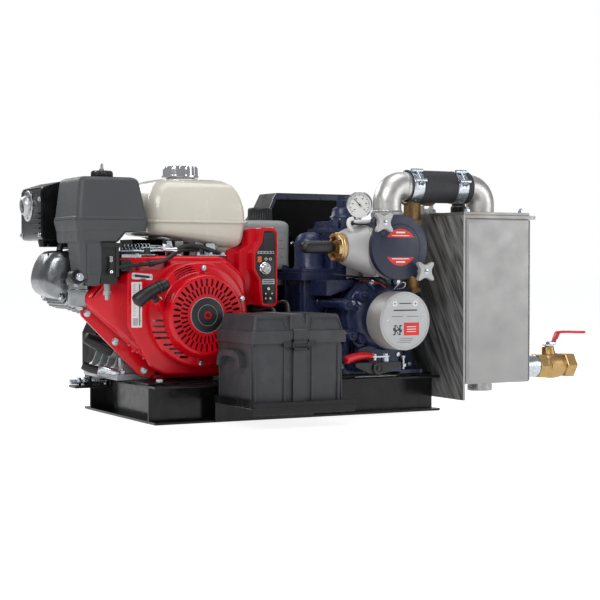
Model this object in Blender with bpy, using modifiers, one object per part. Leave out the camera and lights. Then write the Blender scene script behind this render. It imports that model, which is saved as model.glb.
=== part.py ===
"""Skid-mounted vacuum pump set: petrol engine, belt drive, vane pump, filter and moisture trap.

Metres, +Z up, +X to the pump end, -Y towards the operator's side.
The origin is the middle of the skid's underside.
"""
import math

import bmesh
import bpy
from mathutils import Matrix, Vector

GAP = 0.0003                     # clearance between parts that touch

# Driving dimensions
SKID_LENGTH = 0.662
SKID_WIDTH = 0.400
RAIL_HEIGHT = 0.076              # 3 in channel
RAIL_FLANGE = 0.038
RAIL_WALL = 0.005
DECK_THICKNESS = 0.004
DECK_TOP = RAIL_HEIGHT + GAP + DECK_THICKNESS
TRAY_TOP = 0.0435                # top of the battery tray

CRANK_X = -0.215
CRANK_Z = DECK_TOP + 0.133       # crank height of this engine class
CYLINDER_TILT = math.radians(18)
PULL_AXIS = Vector((-0.62, -0.58, 0.53)).normalized()    # the way the starter rope is pulled

PUMP_X = 0.210
PUMP_Z = 0.197
BELT_INNER_ENGINE = 0.0370       # belt's inner radius on each pulley
BELT_INNER_PUMP = 0.0985
BELT_THICKNESS = 0.009
BELT_Y = (0.186, 0.220)
PULLEY_Y = (0.182, 0.224)

RISER_FOOT = 0.252               # top of the pump's boss under the brass riser

FILTER_X = 0.192
FILTER_Z = 0.350
GAUGE_TURN = math.radians(-24)
RELIEF_Y = -0.195
RELIEF_SEAT_X = 0.0885           # end of the filter's branch, where the relief valve screws on
SUCTION_Y = -0.204               # plane of the two elbows and the hose
SUCTION_Z = 0.480
PIPE_RADIUS = 0.03015            # 2 in pipe
PIPE_WALL = 0.0030
ELBOW_RADIUS = 0.036
INLET_LEG_X = 0.1946
TRAP_LEG_X = 0.431

TRAP_PLATE_X = SKID_LENGTH / 2 + 0.0005
TRAP_PLATE_WALL = 0.005
TRAP_FRONT = -0.287
TRAP_BACK = -0.057
TRAP_RIGHT = 0.503
TRAP_BOTTOM = 0.062
TRAP_TOP = 0.412
VALVE_Y = -0.235
VALVE_Z = 0.091

for old in list(bpy.data.objects):
    bpy.data.objects.remove(old)

PARTS = bpy.data.collections.new("vacuum_pump_set")
bpy.context.scene.collection.children.link(PARTS)


# ---------------------------------------------------------------- helpers
def material(name, colour, roughness, metallic=0.0):
    """A Principled material with one colour."""
    mat = bpy.data.materials.new(name)
    mat.use_nodes = True
    shader = mat.node_tree.nodes["Principled BSDF"]
    shader.inputs["Base Color"].default_value = (*colour, 1.0)
    shader.inputs["Roughness"].default_value = roughness
    shader.inputs["Metallic"].default_value = metallic
    return mat


def add(name, mesh, location=(0, 0, 0), rotation=None):
    """Link a new object for a mesh at a place."""
    obj = bpy.data.objects.new(name, mesh)
    obj.location = location
    if rotation is not None:
        obj.rotation_euler = rotation.to_euler()
    PARTS.objects.link(obj)
    return obj


def bake(obj, face_out=True):
    """Turn an object's modifiers, or its curve, into a plain closed mesh."""
    bpy.context.view_layer.update()
    evaluated = obj.evaluated_get(bpy.context.evaluated_depsgraph_get())
    mesh = bpy.data.meshes.new_from_object(evaluated)
    bm = bmesh.new()
    bm.from_mesh(mesh)
    bmesh.ops.remove_doubles(bm, verts=bm.verts, dist=1e-6)
    if face_out:
        bmesh.ops.recalc_face_normals(bm, faces=bm.faces)
    bm.to_mesh(mesh)
    bm.free()
    if obj.type == "MESH":
        obj.modifiers.clear()
        obj.data = mesh
        return obj
    solid = add(obj.name + "_solid", mesh)
    solid.matrix_world = obj.matrix_world.copy()
    name = obj.name
    bpy.data.objects.remove(obj)
    solid.name = name
    return solid


def box(name, low, high, bevel=0.0, segments=2):
    """A box between two corners, with rounded edges where bevel is set."""
    low, high = Vector(low), Vector(high)
    bm = bmesh.new()
    bmesh.ops.create_cube(bm, size=1.0, matrix=Matrix.Diagonal((*(high - low), 1.0)))
    mesh = bpy.data.meshes.new(name)
    bm.to_mesh(mesh)
    bm.free()
    obj = add(name, mesh, (low + high) / 2)
    if bevel:
        mod = obj.modifiers.new("bevel", "BEVEL")
        mod.width = bevel
        mod.segments = segments
        bake(obj)
    return obj


def rod(name, start, end, radius, end_radius=None, sides=24):
    """A cylinder or cone from one point to another, with its origin at the start."""
    start, end = Vector(start), Vector(end)
    length = (end - start).length
    bm = bmesh.new()
    bmesh.ops.create_cone(
        bm, cap_ends=True, segments=sides, radius1=radius,
        radius2=radius if end_radius is None else end_radius, depth=length,
        matrix=Matrix.Translation((0, 0, length / 2)))
    mesh = bpy.data.meshes.new(name)
    bm.to_mesh(mesh)
    bm.free()
    return add(name, mesh, start, (end - start).to_track_quat("Z", "Y"))


def turned(name, profile, base, direction, sides=24):
    """Turn (radius, height) points, listed down the outer side, about an axis through base."""
    mesh = bpy.data.meshes.new(name)
    edges = [(i, i + 1) for i in range(len(profile) - 1)]
    if profile[0][0] > 0 and profile[-1][0] > 0:
        edges.append((len(profile) - 1, 0))
    mesh.from_pydata([(r, 0.0, z) for r, z in profile], edges, [])
    obj = add(name, mesh, base, Vector(direction).to_track_quat("Z", "Y"))
    screw = obj.modifiers.new("turn", "SCREW")
    screw.steps = screw.render_steps = sides
    screw.use_merge_vertices = True
    screw.merge_threshold = 1e-5
    screw.use_smooth_shade = False
    return bake(obj)


def plate(name, outlines, y_low, y_high, at=(0, 0)):
    """A flat plate in the XZ plane: the first outline is its edge and the others are holes."""
    curve = bpy.data.curves.new(name, "CURVE")
    curve.dimensions = "2D"
    curve.fill_mode = "BOTH"
    curve.extrude = (y_high - y_low) / 2
    for outline in outlines:
        spline = curve.splines.new("POLY")
        spline.points.add(len(outline) - 1)
        for point, (x, z) in zip(spline.points, outline):
            point.co = (x, z, 0.0, 1.0)
        spline.use_cyclic_u = True
    obj = bpy.data.objects.new(name, curve)
    obj.location = (at[0], (y_low + y_high) / 2, at[1])
    obj.rotation_euler = (math.pi / 2, 0, 0)
    PARTS.objects.link(obj)
    return bake(obj)


def bent_rod(name, points, radius, resolution=3):
    """A round bar along points, with flat ends."""
    curve = bpy.data.curves.new(name, "CURVE")
    curve.dimensions = "3D"
    curve.bevel_depth = radius
    curve.bevel_resolution = resolution
    curve.use_fill_caps = True
    spline = curve.splines.new("POLY")
    spline.points.add(len(points) - 1)
    for point, co in zip(spline.points, points):
        point.co = (*co, 1.0)
    obj = bpy.data.objects.new(name, curve)
    PARTS.objects.link(obj)
    return bake(obj)


def boolean(target, tools, operation):
    """Cut tools out of a part, or weld them to it."""
    for tool in tools:
        mod = target.modifiers.new("boolean", "BOOLEAN")
        mod.operation = operation
        mod.solver = "EXACT"
        mod.object = tool
        bake(target, face_out=False)
        bpy.data.objects.remove(tool)
    return target


def cut(target, *tools):
    return boolean(target, tools, "DIFFERENCE")


def weld(target, *tools):
    return boolean(target, tools, "UNION")


def circle(cx, cz, radius, sides=32, start=0.0):
    """Points round a circle in the XZ plane."""
    angles = (start + 2 * math.pi * i / sides for i in range(sides))
    return [(cx + radius * math.cos(a), cz + radius * math.sin(a)) for a in angles]


def finish(obj, mat, origin=None, sharp=35):
    """Give a part its material and shading, and put its origin on its joint's axis."""
    obj.data.materials.clear()
    obj.data.materials.append(mat)
    obj.data.shade_smooth()
    obj.data.set_sharp_from_angle(angle=math.radians(sharp))
    if origin is not None:
        bpy.context.view_layer.update()
        shift = Matrix.Translation(-Vector(origin)) @ obj.matrix_world
        obj.data.transform(shift)
        obj.matrix_world = Matrix.Translation(origin)
    return obj


def shell_box(name, low, high, wall, bevel=0.0, open_side="top"):
    """A rounded box with walls of one thickness, open at its top or bottom."""
    outer = box(name, low, high, bevel)
    low, high = Vector(low), Vector(high)
    inner_low = low + Vector((wall, wall, wall))
    inner_high = high - Vector((wall, wall, wall))
    if open_side == "top":
        inner_high.z = high.z + bevel + wall
    else:
        inner_low.z = low.z - bevel - wall
    return cut(outer, box("inner", inner_low, inner_high, max(bevel - wall, 0.0)))


# ---------------------------------------------------------------- materials
BLACK_PAINT = material("black_paint", (0.012, 0.012, 0.013), 0.25)
RED_PAINT = material("red_paint", (0.55, 0.005, 0.02), 0.25)
NAVY_PAINT = material("navy_paint", (0.018, 0.026, 0.075), 0.35)
CREAM_PAINT = material("cream_paint", (0.62, 0.59, 0.50), 0.3)
CAST_ALUMINIUM = material("cast_aluminium", (0.55, 0.56, 0.57), 0.4, 1.0)
STAINLESS = material("stainless", (0.52, 0.52, 0.51), 0.35, 1.0)
STEEL = material("steel", (0.45, 0.45, 0.46), 0.3, 1.0)
CHROME = material("chrome", (0.8, 0.8, 0.82), 0.08, 1.0)
BRASS = material("brass", (0.62, 0.42, 0.17), 0.32, 1.0)
GREY_PLASTIC = material("grey_plastic", (0.055, 0.058, 0.062), 0.55)
BLACK_PLASTIC = material("black_plastic", (0.015, 0.015, 0.016), 0.45)
TANK_PLASTIC = material("tank_plastic", (0.38, 0.39, 0.39), 0.5)
RUBBER = material("rubber", (0.03, 0.03, 0.032), 0.7)
RED_GRIP = material("red_grip", (0.6, 0.01, 0.015), 0.4)
PAPER = material("filter_paper", (0.6, 0.55, 0.42), 0.9)


# ---------------------------------------------------------------- skid
def channel(name, low, high, open_towards):
    """A C-channel along X or Y whose flanges point towards one side."""
    low, high = Vector(low), Vector(high)
    inner_low = low + Vector((0, 0, RAIL_WALL))
    inner_high = high - Vector((0, 0, RAIL_WALL))
    axis, sign = open_towards
    if axis == "Y":
        inner_low.x, inner_high.x = low.x - GAP, high.x + GAP
    else:
        inner_low.y, inner_high.y = low.y - GAP, high.y + GAP
    index = "XYZ".index(axis)
    if sign < 0:
        inner_low[index] = low[index] - RAIL_WALL
        inner_high[index] = high[index] - RAIL_WALL
    else:
        inner_low[index] = low[index] + RAIL_WALL
        inner_high[index] = high[index] + RAIL_WALL
    return cut(box(name, low, high), box("inner", inner_low, inner_high))


def make_skid():
    half_x, half_y = SKID_LENGTH / 2, SKID_WIDTH / 2
    inner_y = half_y - RAIL_FLANGE
    finish(channel("front_rail", (-half_x, -half_y, 0), (half_x, -inner_y, RAIL_HEIGHT), ("Y", -1)),
           BLACK_PAINT)
    finish(channel("rear_rail", (-half_x, inner_y, 0), (half_x, half_y, RAIL_HEIGHT), ("Y", 1)),
           BLACK_PAINT)
    reach = inner_y - GAP
    finish(channel("left_cross_member", (-half_x, -reach, 0), (-half_x + RAIL_FLANGE, reach, RAIL_HEIGHT),
                   ("X", -1)), BLACK_PAINT)
    finish(channel("centre_cross_member", (-RAIL_FLANGE / 2, -reach, 0),
                   (RAIL_FLANGE / 2, reach, RAIL_HEIGHT), ("X", 1)), BLACK_PAINT)
    finish(box("deck_plate", (-half_x, -0.165, RAIL_HEIGHT + GAP), (half_x, 0.155, DECK_TOP)), BLACK_PAINT)

    sheet = 0.0035
    left, right, front = -0.203, 0.018, -0.375
    back = -half_y - GAP
    tray = box("battery_tray", (left, front, 0.001), (right, back, TRAY_TOP))
    cut(tray,
        box("under", (left - sheet, front + sheet, -0.01), (right + sheet, back - sheet, TRAY_TOP - sheet)),
        box("below_lip", (left - sheet, front - sheet, -0.01), (right + sheet, front + 2 * sheet, 0.028)))
    finish(tray, BLACK_PAINT)


# ---------------------------------------------------------------- engine
def along_cylinder(distance, side, y):
    """A point at a distance along the tilted cylinder's axis, and to its upper side."""
    c, s = math.cos(CYLINDER_TILT), math.sin(CYLINDER_TILT)
    return Vector((CRANK_X - c * distance + s * side, y, CRANK_Z + s * distance + c * side))


def cylinder_block(name, near, far, half_side, half_y, bevel=0.0):
    """A box square to the tilted cylinder's axis."""
    obj = box(name, (near, -half_y, -half_side), (far, half_y, half_side), bevel)
    basis = Matrix.Translation((CRANK_X, 0, CRANK_Z)) @ Matrix.Rotation(CYLINDER_TILT, 4, "Y") \
        @ Matrix.Scale(-1, 4, (1, 0, 0))
    obj.data.transform(basis @ Matrix.Translation(obj.location))
    obj.data.flip_normals()
    obj.location = (0, 0, 0)
    return obj


def make_crankcase():
    base = DECK_TOP + GAP
    top_corner, low_corner = along_cylinder(0.095, 0.060, 0), along_cylinder(0.095, -0.060, 0)
    outline = [(-0.360, base), (-0.360, base + 0.017), (-0.326, base + 0.040), (low_corner.x, low_corner.z),
               (top_corner.x, top_corner.z), (-0.150, 0.2995), (-0.120, 0.262), (-0.120, base + 0.040),
               (-0.092, base + 0.017), (-0.092, base)]
    case = plate("crankcase", [outline], -0.060, 0.118)
    neck_low, neck_high = Vector((-0.318, 0, 0.1292)), Vector((-0.3435, 0, 0.1402))
    weld(case, rod("neck", neck_low, neck_high, 0.0145, sides=20),
         rod("seal_boss", (CRANK_X, 0.110, CRANK_Z), (CRANK_X, 0.128, CRANK_Z), 0.034))
    cavity = plate("cavity", [[(-0.310, base + 0.012), (-0.318, 0.180), (-0.285, 0.286), (-0.155, 0.288),
                               (-0.130, 0.258), (-0.130, base + 0.012)]], -0.052, 0.106)
    axis = Vector((CRANK_X, 0, CRANK_Z))
    cut(case, cavity,
        rod("shaft_hole", axis + Vector((0, -0.08, 0)), axis + Vector((0, 0.14, 0)), 0.0165),
        rod("barrel_hole", along_cylinder(0.05, 0, 0), along_cylinder(0.11, 0, 0), 0.044),
        rod("neck_hole", neck_low + Vector((0.02, 0, -0.0086)), neck_high + Vector((-0.01, 0, 0.0043)), 0.006,
            sides=16))
    finish(case, CAST_ALUMINIUM)


def make_cylinder():
    head = cylinder_block("cylinder_head", 0.215, 0.245, 0.058, 0.062, bevel=0.004)
    barrel = rod("barrel", along_cylinder(0.095 + GAP, 0, 0), along_cylinder(0.220, 0, 0), 0.052)
    fins = [cylinder_block("fin", d, d + 0.004, 0.056, 0.060) for d in (0.110 + 0.026 * i for i in range(4))]
    weld(head, barrel, *fins)
    cut(head, rod("bore", along_cylinder(0.08, 0, 0), along_cylinder(0.222, 0, 0), 0.044))
    finish(head, CAST_ALUMINIUM)
    finish(cylinder_block("rocker_cover", 0.245 + GAP, 0.303, 0.053, 0.060, bevel=0.012), CAST_ALUMINIUM)


SHROUD_OUTLINE = [(-0.4450, 0.252), (-0.4450, 0.238), (-0.302, 0.117), (-0.268, 0.0845), (-0.150, 0.0845),
                  (-0.105, 0.130), (-0.096, 0.200), (-0.098, 0.290), (-0.150, 0.332), (-0.375, 0.332),
                  (-0.388, 0.316)]


def make_shroud():
    front, back, wall = -0.132, -0.064, 0.0025
    centre_x = sum(x for x, _ in SHROUD_OUTLINE) / len(SHROUD_OUTLINE)
    centre_z = sum(z for _, z in SHROUD_OUTLINE) / len(SHROUD_OUTLINE)
    shrink = 0.978
    inside = [(centre_x + shrink * (x - centre_x), centre_z + shrink * (z - centre_z))
              for x, z in SHROUD_OUTLINE]
    shroud = plate("fan_shroud", [SHROUD_OUTLINE], front, back)
    cut(shroud, plate("inside", [inside], front + wall, back + wall),
        box("carburettor_space", (-0.475, -0.126, 0.236), (-0.402, -0.050, 0.350)),
        rod("fan_hole", (CRANK_X, front - 0.01, CRANK_Z), (CRANK_X, front + 0.02, CRANK_Z), 0.097))
    finish(shroud, RED_PAINT)


def make_recoil():
    """A dished cover with its rope guide, a rope reel on a post, and the pull grip."""
    hub_y = -0.191
    wall = 0.0025
    outer = [(0.0, 0.0), (0.076, 0.0), (0.080, 0.003), (0.084, 0.029), (0.100, 0.033), (0.107, 0.041),
             (0.107, 0.0585)]
    inner = [(0.107 - wall, 0.0585), (0.107 - wall, 0.043), (0.099, 0.033 + wall), (0.081, 0.029 + wall),
             (0.077, 0.003 + wall), (0.0075, wall), (0.0075, 0.026), (0.0, 0.026)]
    profile = [(r, -h) for r, h in outer + inner]
    cover = turned("recoil_housing", profile, (CRANK_X, hub_y, CRANK_Z), (0, -1, 0), sides=32)
    guide = Vector((-0.311, -0.1700, 0.2385))
    weld(cover, rod("guide", guide - PULL_AXIS * 0.022, guide + PULL_AXIS * 0.012, 0.0085, sides=16))
    finish(cover, RED_PAINT)

    reel = turned("recoil_reel", [(0.062, 0.007), (0.062, 0.004), (0.054, 0.002), (0.054, -0.002),
                                  (0.062, -0.004), (0.062, -0.007), (0.0082, -0.007), (0.0082, 0.007)],
                  (CRANK_X, -0.176, CRANK_Z), (0, -1, 0))
    finish(reel, BLACK_PLASTIC, (CRANK_X, -0.176, CRANK_Z))

    stem_start = guide + PULL_AXIS * 0.0135
    bar = Vector((0.0686, 0, 0.0377))
    centre = stem_start + PULL_AXIS * 0.028
    grip = rod("recoil_grip", centre - bar / 2, centre + bar / 2, 0.0115, sides=20)
    weld(grip, rod("stem", stem_start, centre, 0.007, 0.009, sides=16))
    finish(grip, BLACK_PLASTIC, tuple(stem_start))


def make_crank():
    """The crankshaft with its webs, the flywheel with fan blades, and the small pulley."""
    x, z = CRANK_X, CRANK_Z
    shaft = turned("crankshaft", [
        (0.0, 0.232), (0.0125, 0.232), (0.0125, 0.130), (0.016, 0.130), (0.016, 0.060), (0.048, 0.060),
        (0.048, 0.044), (0.020, 0.044), (0.020, 0.012), (0.048, 0.012), (0.048, -0.004), (0.016, -0.004),
        (0.016, -0.066), (0.010, -0.070), (0.010, -0.150), (0.0, -0.150)], (x, 0, z), (0, 1, 0), sides=20)
    finish(shaft, STEEL, (x, 0, z))

    wheel = turned("flywheel", [(0.088, -0.076), (0.088, -0.130), (0.042, -0.132), (0.042, -0.158),
                                (0.036, -0.158), (0.036, -0.128), (0.0103, -0.128), (0.0103, -0.076)],
                   (x, 0, z), (0, 1, 0), sides=28)
    blades = []
    for i in range(8):
        blade = box("blade", (0.056, -0.150, -0.0015), (0.088, -0.125, 0.0015))
        turn = Matrix.Translation((x, 0, z)) @ Matrix.Rotation(math.radians(45 * i), 4, "Y")
        blade.data.transform(turn @ Matrix.Translation(blade.location))
        blade.location = (0, 0, 0)
        blades.append(blade)
    finish(weld(wheel, *blades), CAST_ALUMINIUM, (x, 0, z))


def pulley(name, x, z, belt_inner, bore, hub):
    """A grooved pulley whose groove the belt lies in."""
    low, high = PULLEY_Y
    groove_low, groove_high = BELT_Y[0] - 0.0006, BELT_Y[1] + 0.0006
    rim, groove = belt_inner + BELT_THICKNESS - 0.001, belt_inner - 0.0006
    profile = [(rim, high), (rim, groove_high), (groove, groove_high), (groove, groove_low),
               (rim, groove_low), (rim, low), (bore, low), (bore, high)]
    wheel = turned(name, profile, (x, 0, z), (0, 1, 0), sides=28)
    if hub:
        web_low, web_high = low - 0.002, low + 0.030
        cut(wheel, turned("recess", [(groove - 0.012, high + 0.002), (groove - 0.012, web_high - 0.012),
                                     (hub, web_high - 0.012), (hub, high + 0.002)], (x, 0, z), (0, 1, 0),
                          sides=28))
    return finish(wheel, CAST_ALUMINIUM, (x, 0, z))


def belt_path(offset, sides=14):
    """The belt's loop round both pulleys, at an offset outwards from its inner face."""
    start, end = Vector((CRANK_X, CRANK_Z)), Vector((PUMP_X, PUMP_Z))
    r1, r2 = BELT_INNER_ENGINE + offset, BELT_INNER_PUMP + offset
    line = end - start
    heading = math.atan2(line.y, line.x)
    spread = math.acos((r1 - r2) / line.length)
    points = []
    for centre, radius, first, sweep in ((end, r2, heading - spread, 2 * spread),
                                         (start, r1, heading + spread, 2 * (math.pi - spread))):
        reach = radius / math.cos(sweep / sides / 2)      # the facets' middles touch the circle
        for i in range(sides + 1):
            a = first + sweep * i / sides
            points.append((centre.x + reach * math.cos(a), centre.y + reach * math.sin(a)))
    return points


def make_drive():
    pulley("engine_pulley", CRANK_X, CRANK_Z, BELT_INNER_ENGINE, 0.0128, 0)
    pulley("pump_pulley", PUMP_X, PUMP_Z, BELT_INNER_PUMP, 0.0128, 0.024)
    finish(plate("v_belt", [belt_path(BELT_THICKNESS), belt_path(0.0)], *BELT_Y), RUBBER)

    front, back, wall = 0.160, 0.245, 0.002
    outline = [(-0.320, 0.0806), (-0.320, 0.165), (-0.268, 0.275), (0.060, 0.395), (0.098, 0.440),
               (0.118, 0.478), (0.326, 0.478), (0.326, 0.0806)]
    inside = [(-0.3175, 0.0830), (-0.3175, 0.1645), (-0.2665, 0.2730), (0.0612, 0.3927), (0.1000, 0.4386),
              (0.1195, 0.4755), (0.3235, 0.4755), (0.3235, 0.0830)]
    guard = plate("belt_guard", [outline], front, back)
    cut(guard, plate("inside", [inside], front + wall, back - wall),
        rod("engine_hole", (CRANK_X, front - 0.02, CRANK_Z), (CRANK_X, front + 0.02, CRANK_Z), 0.020),
        rod("pump_hole", (PUMP_X, front - 0.02, PUMP_Z), (PUMP_X, front + 0.02, PUMP_Z), 0.020))
    shelf_top = 0.2655
    weld(guard, box("shelf", (-0.012, 0.048, shelf_top - 0.003), (0.104, front + 0.001, shelf_top)),
         box("shelf_web", (0.100, 0.048, shelf_top - 0.003), (0.104, front + 0.001, 0.360)))
    finish(guard, BLACK_PAINT)


def make_air_system():
    """Air cleaner, its stud, knob and duct, the carburettor, and the choke and throttle levers."""
    seam = 0.4015
    base = box("air_cleaner_base", (-0.474, -0.155, 0.356), (-0.321, -0.008, seam), bevel=0.008)
    stud_x, stud_y = -0.395, -0.083
    weld(base, box("duct", (-0.465, -0.150, 0.2865), (-0.431, -0.066, 0.360), bevel=0.004),
         box("lever_panel", (-0.4315, -0.150, 0.272), (-0.388, -0.1345, 0.360)),
         rod("stud", (stud_x, stud_y, 0.400), (stud_x, stud_y, 0.515), 0.003, sides=16))
    finish(base, GREY_PLASTIC)

    cover = shell_box("air_cleaner_cover", (-0.473, -0.154, seam + GAP), (-0.322, -0.009, 0.486), 0.0025,
                      bevel=0.014, open_side="bottom")
    cut(cover, rod("stud_hole", (stud_x, stud_y, 0.47), (stud_x, stud_y, 0.50), 0.0045, sides=16))
    finish(cover, GREY_PLASTIC, (stud_x, stud_y, seam + GAP))
    knob = turned("wing_knob", [(0.021, 0.014), (0.0235, 0.010), (0.0235, 0.005), (0.015, 0.0), (0.0038, 0.0),
                                (0.0038, 0.014)], (stud_x, stud_y, 0.4866), (0, 0, 1), sides=20)
    finish(knob, BLACK_PLASTIC, (stud_x, stud_y, 0.4866))

    carb = rod("carburettor", (-0.447, -0.098, 0.249), (-0.447, -0.098, 0.276), 0.0215)
    weld(carb, box("flange", (-0.466, -0.122, 0.2745), (-0.409, -0.070, 0.2855)),
         box("throat", (-0.4285, -0.122, 0.2845), (-0.4095, -0.0625, 0.330)),
         rod("drain", (-0.447, -0.098, 0.241), (-0.447, -0.098, 0.250), 0.006, sides=12))
    finish(carb, CAST_ALUMINIUM)

    choke_at = (-0.404, -0.1505, 0.300)
    choke = rod("choke_lever", choke_at, (choke_at[0], -0.1575, choke_at[2]), 0.006, sides=16)
    weld(choke, box("arm", (-0.4075, -0.1575, 0.303), (-0.4005, -0.1535, 0.330), bevel=0.0012))
    finish(choke, BLACK_PLASTIC, choke_at)

    throttle_at = (-0.330, -0.100, 0.3323)
    lever = rod("throttle_lever", throttle_at, (throttle_at[0], throttle_at[1], 0.3415), 0.007, sides=16)
    weld(lever, box("arm", (-0.335, -0.164, 0.3365), (-0.325, -0.098, 0.3395)),
         rod("knob", (-0.330, -0.160, 0.3335), (-0.330, -0.160, 0.3475), 0.0065, sides=16))
    finish(lever, STEEL, throttle_at)


def make_muffler():
    low, high = Vector((-0.485, 0.022, 0.363)), Vector((-0.335, 0.160, 0.485))
    muffler = box("muffler", low, high, bevel=0.010)
    outlet = Vector((low.x, 0.105, 0.435))
    weld(muffler, rod("outlet_plate", outlet + Vector((0.002, 0, 0)), outlet - Vector((0.004, 0, 0)), 0.032),
         rod("outlet", outlet, outlet - Vector((0.013, 0, 0)), 0.014, sides=24),
         rod("inlet_pipe", (-0.405, 0.045, 0.3455), (-0.405, 0.045, 0.366), 0.015, sides=24))
    cut(muffler, box("inside", low + Vector((0.003, 0.003, 0.003)), high - Vector((0.003, 0.003, 0.003)),
                     bevel=0.008),
        rod("outlet_bore", outlet - Vector((0.02, 0, 0)), outlet + Vector((0.02, 0, 0)), 0.011, sides=24))
    finish(muffler, BLACK_PAINT)


def make_fuel_tank():
    low, high, wall = Vector((-0.300, -0.100, 0.357)), Vector((-0.084, 0.096, 0.492)), 0.003
    tank = box("fuel_tank", low, high, bevel=0.018, segments=1)
    thick = Vector((wall, wall, wall))
    neck = Vector((-0.196, -0.016, high.z))
    weld(tank, rod("neck", neck - Vector((0, 0, 0.01)), neck + Vector((0, 0, 0.006)), 0.030))
    cut(tank, box("inside", low + thick, high - thick, bevel=0.015, segments=1),
        rod("filler", neck - Vector((0, 0, 0.03)), neck + Vector((0, 0, 0.03)), 0.024))
    finish(tank, CREAM_PAINT)
    cap = turned("fuel_cap", [(0.0, 0.027), (0.037, 0.027), (0.040, 0.023), (0.040, 0.001), (0.0312, 0.001),
                              (0.0312, 0.0068), (0.0, 0.0068)], tuple(neck), (0, 0, 1))
    finish(cap, CHROME, tuple(neck))


def make_controls():
    front = -0.130
    housing = box("control_box", (-0.080, front, 0.226), (-0.026, -0.045, 0.392), bevel=0.006)
    finish(housing, RED_PAINT)
    key_at = (-0.056, front - GAP, 0.306)
    key = rod("key_switch", key_at, (key_at[0], front - 0.007, key_at[2]), 0.010, sides=24)
    weld(key, box("blade", (-0.0575, front - 0.022, 0.298), (-0.0545, front - 0.006, 0.314)))
    finish(key, CHROME, key_at)

    starter = rod("starter_motor", (-0.084, -0.058, 0.190), (-0.084, 0.078, 0.190), 0.029)
    finish(starter, BLACK_PAINT)

    start = Vector((-0.3447, 0, 0.14075))
    heading = Vector((-0.0255, 0, 0.0110)).normalized()
    stick = rod("oil_dipstick", start, start + heading * 0.062, 0.0172, sides=24)
    weld(stick, rod("stick", start - heading * 0.040, start + heading * 0.01, 0.0035, sides=12))
    finish(stick, BLACK_PLASTIC, tuple(start))


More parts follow.
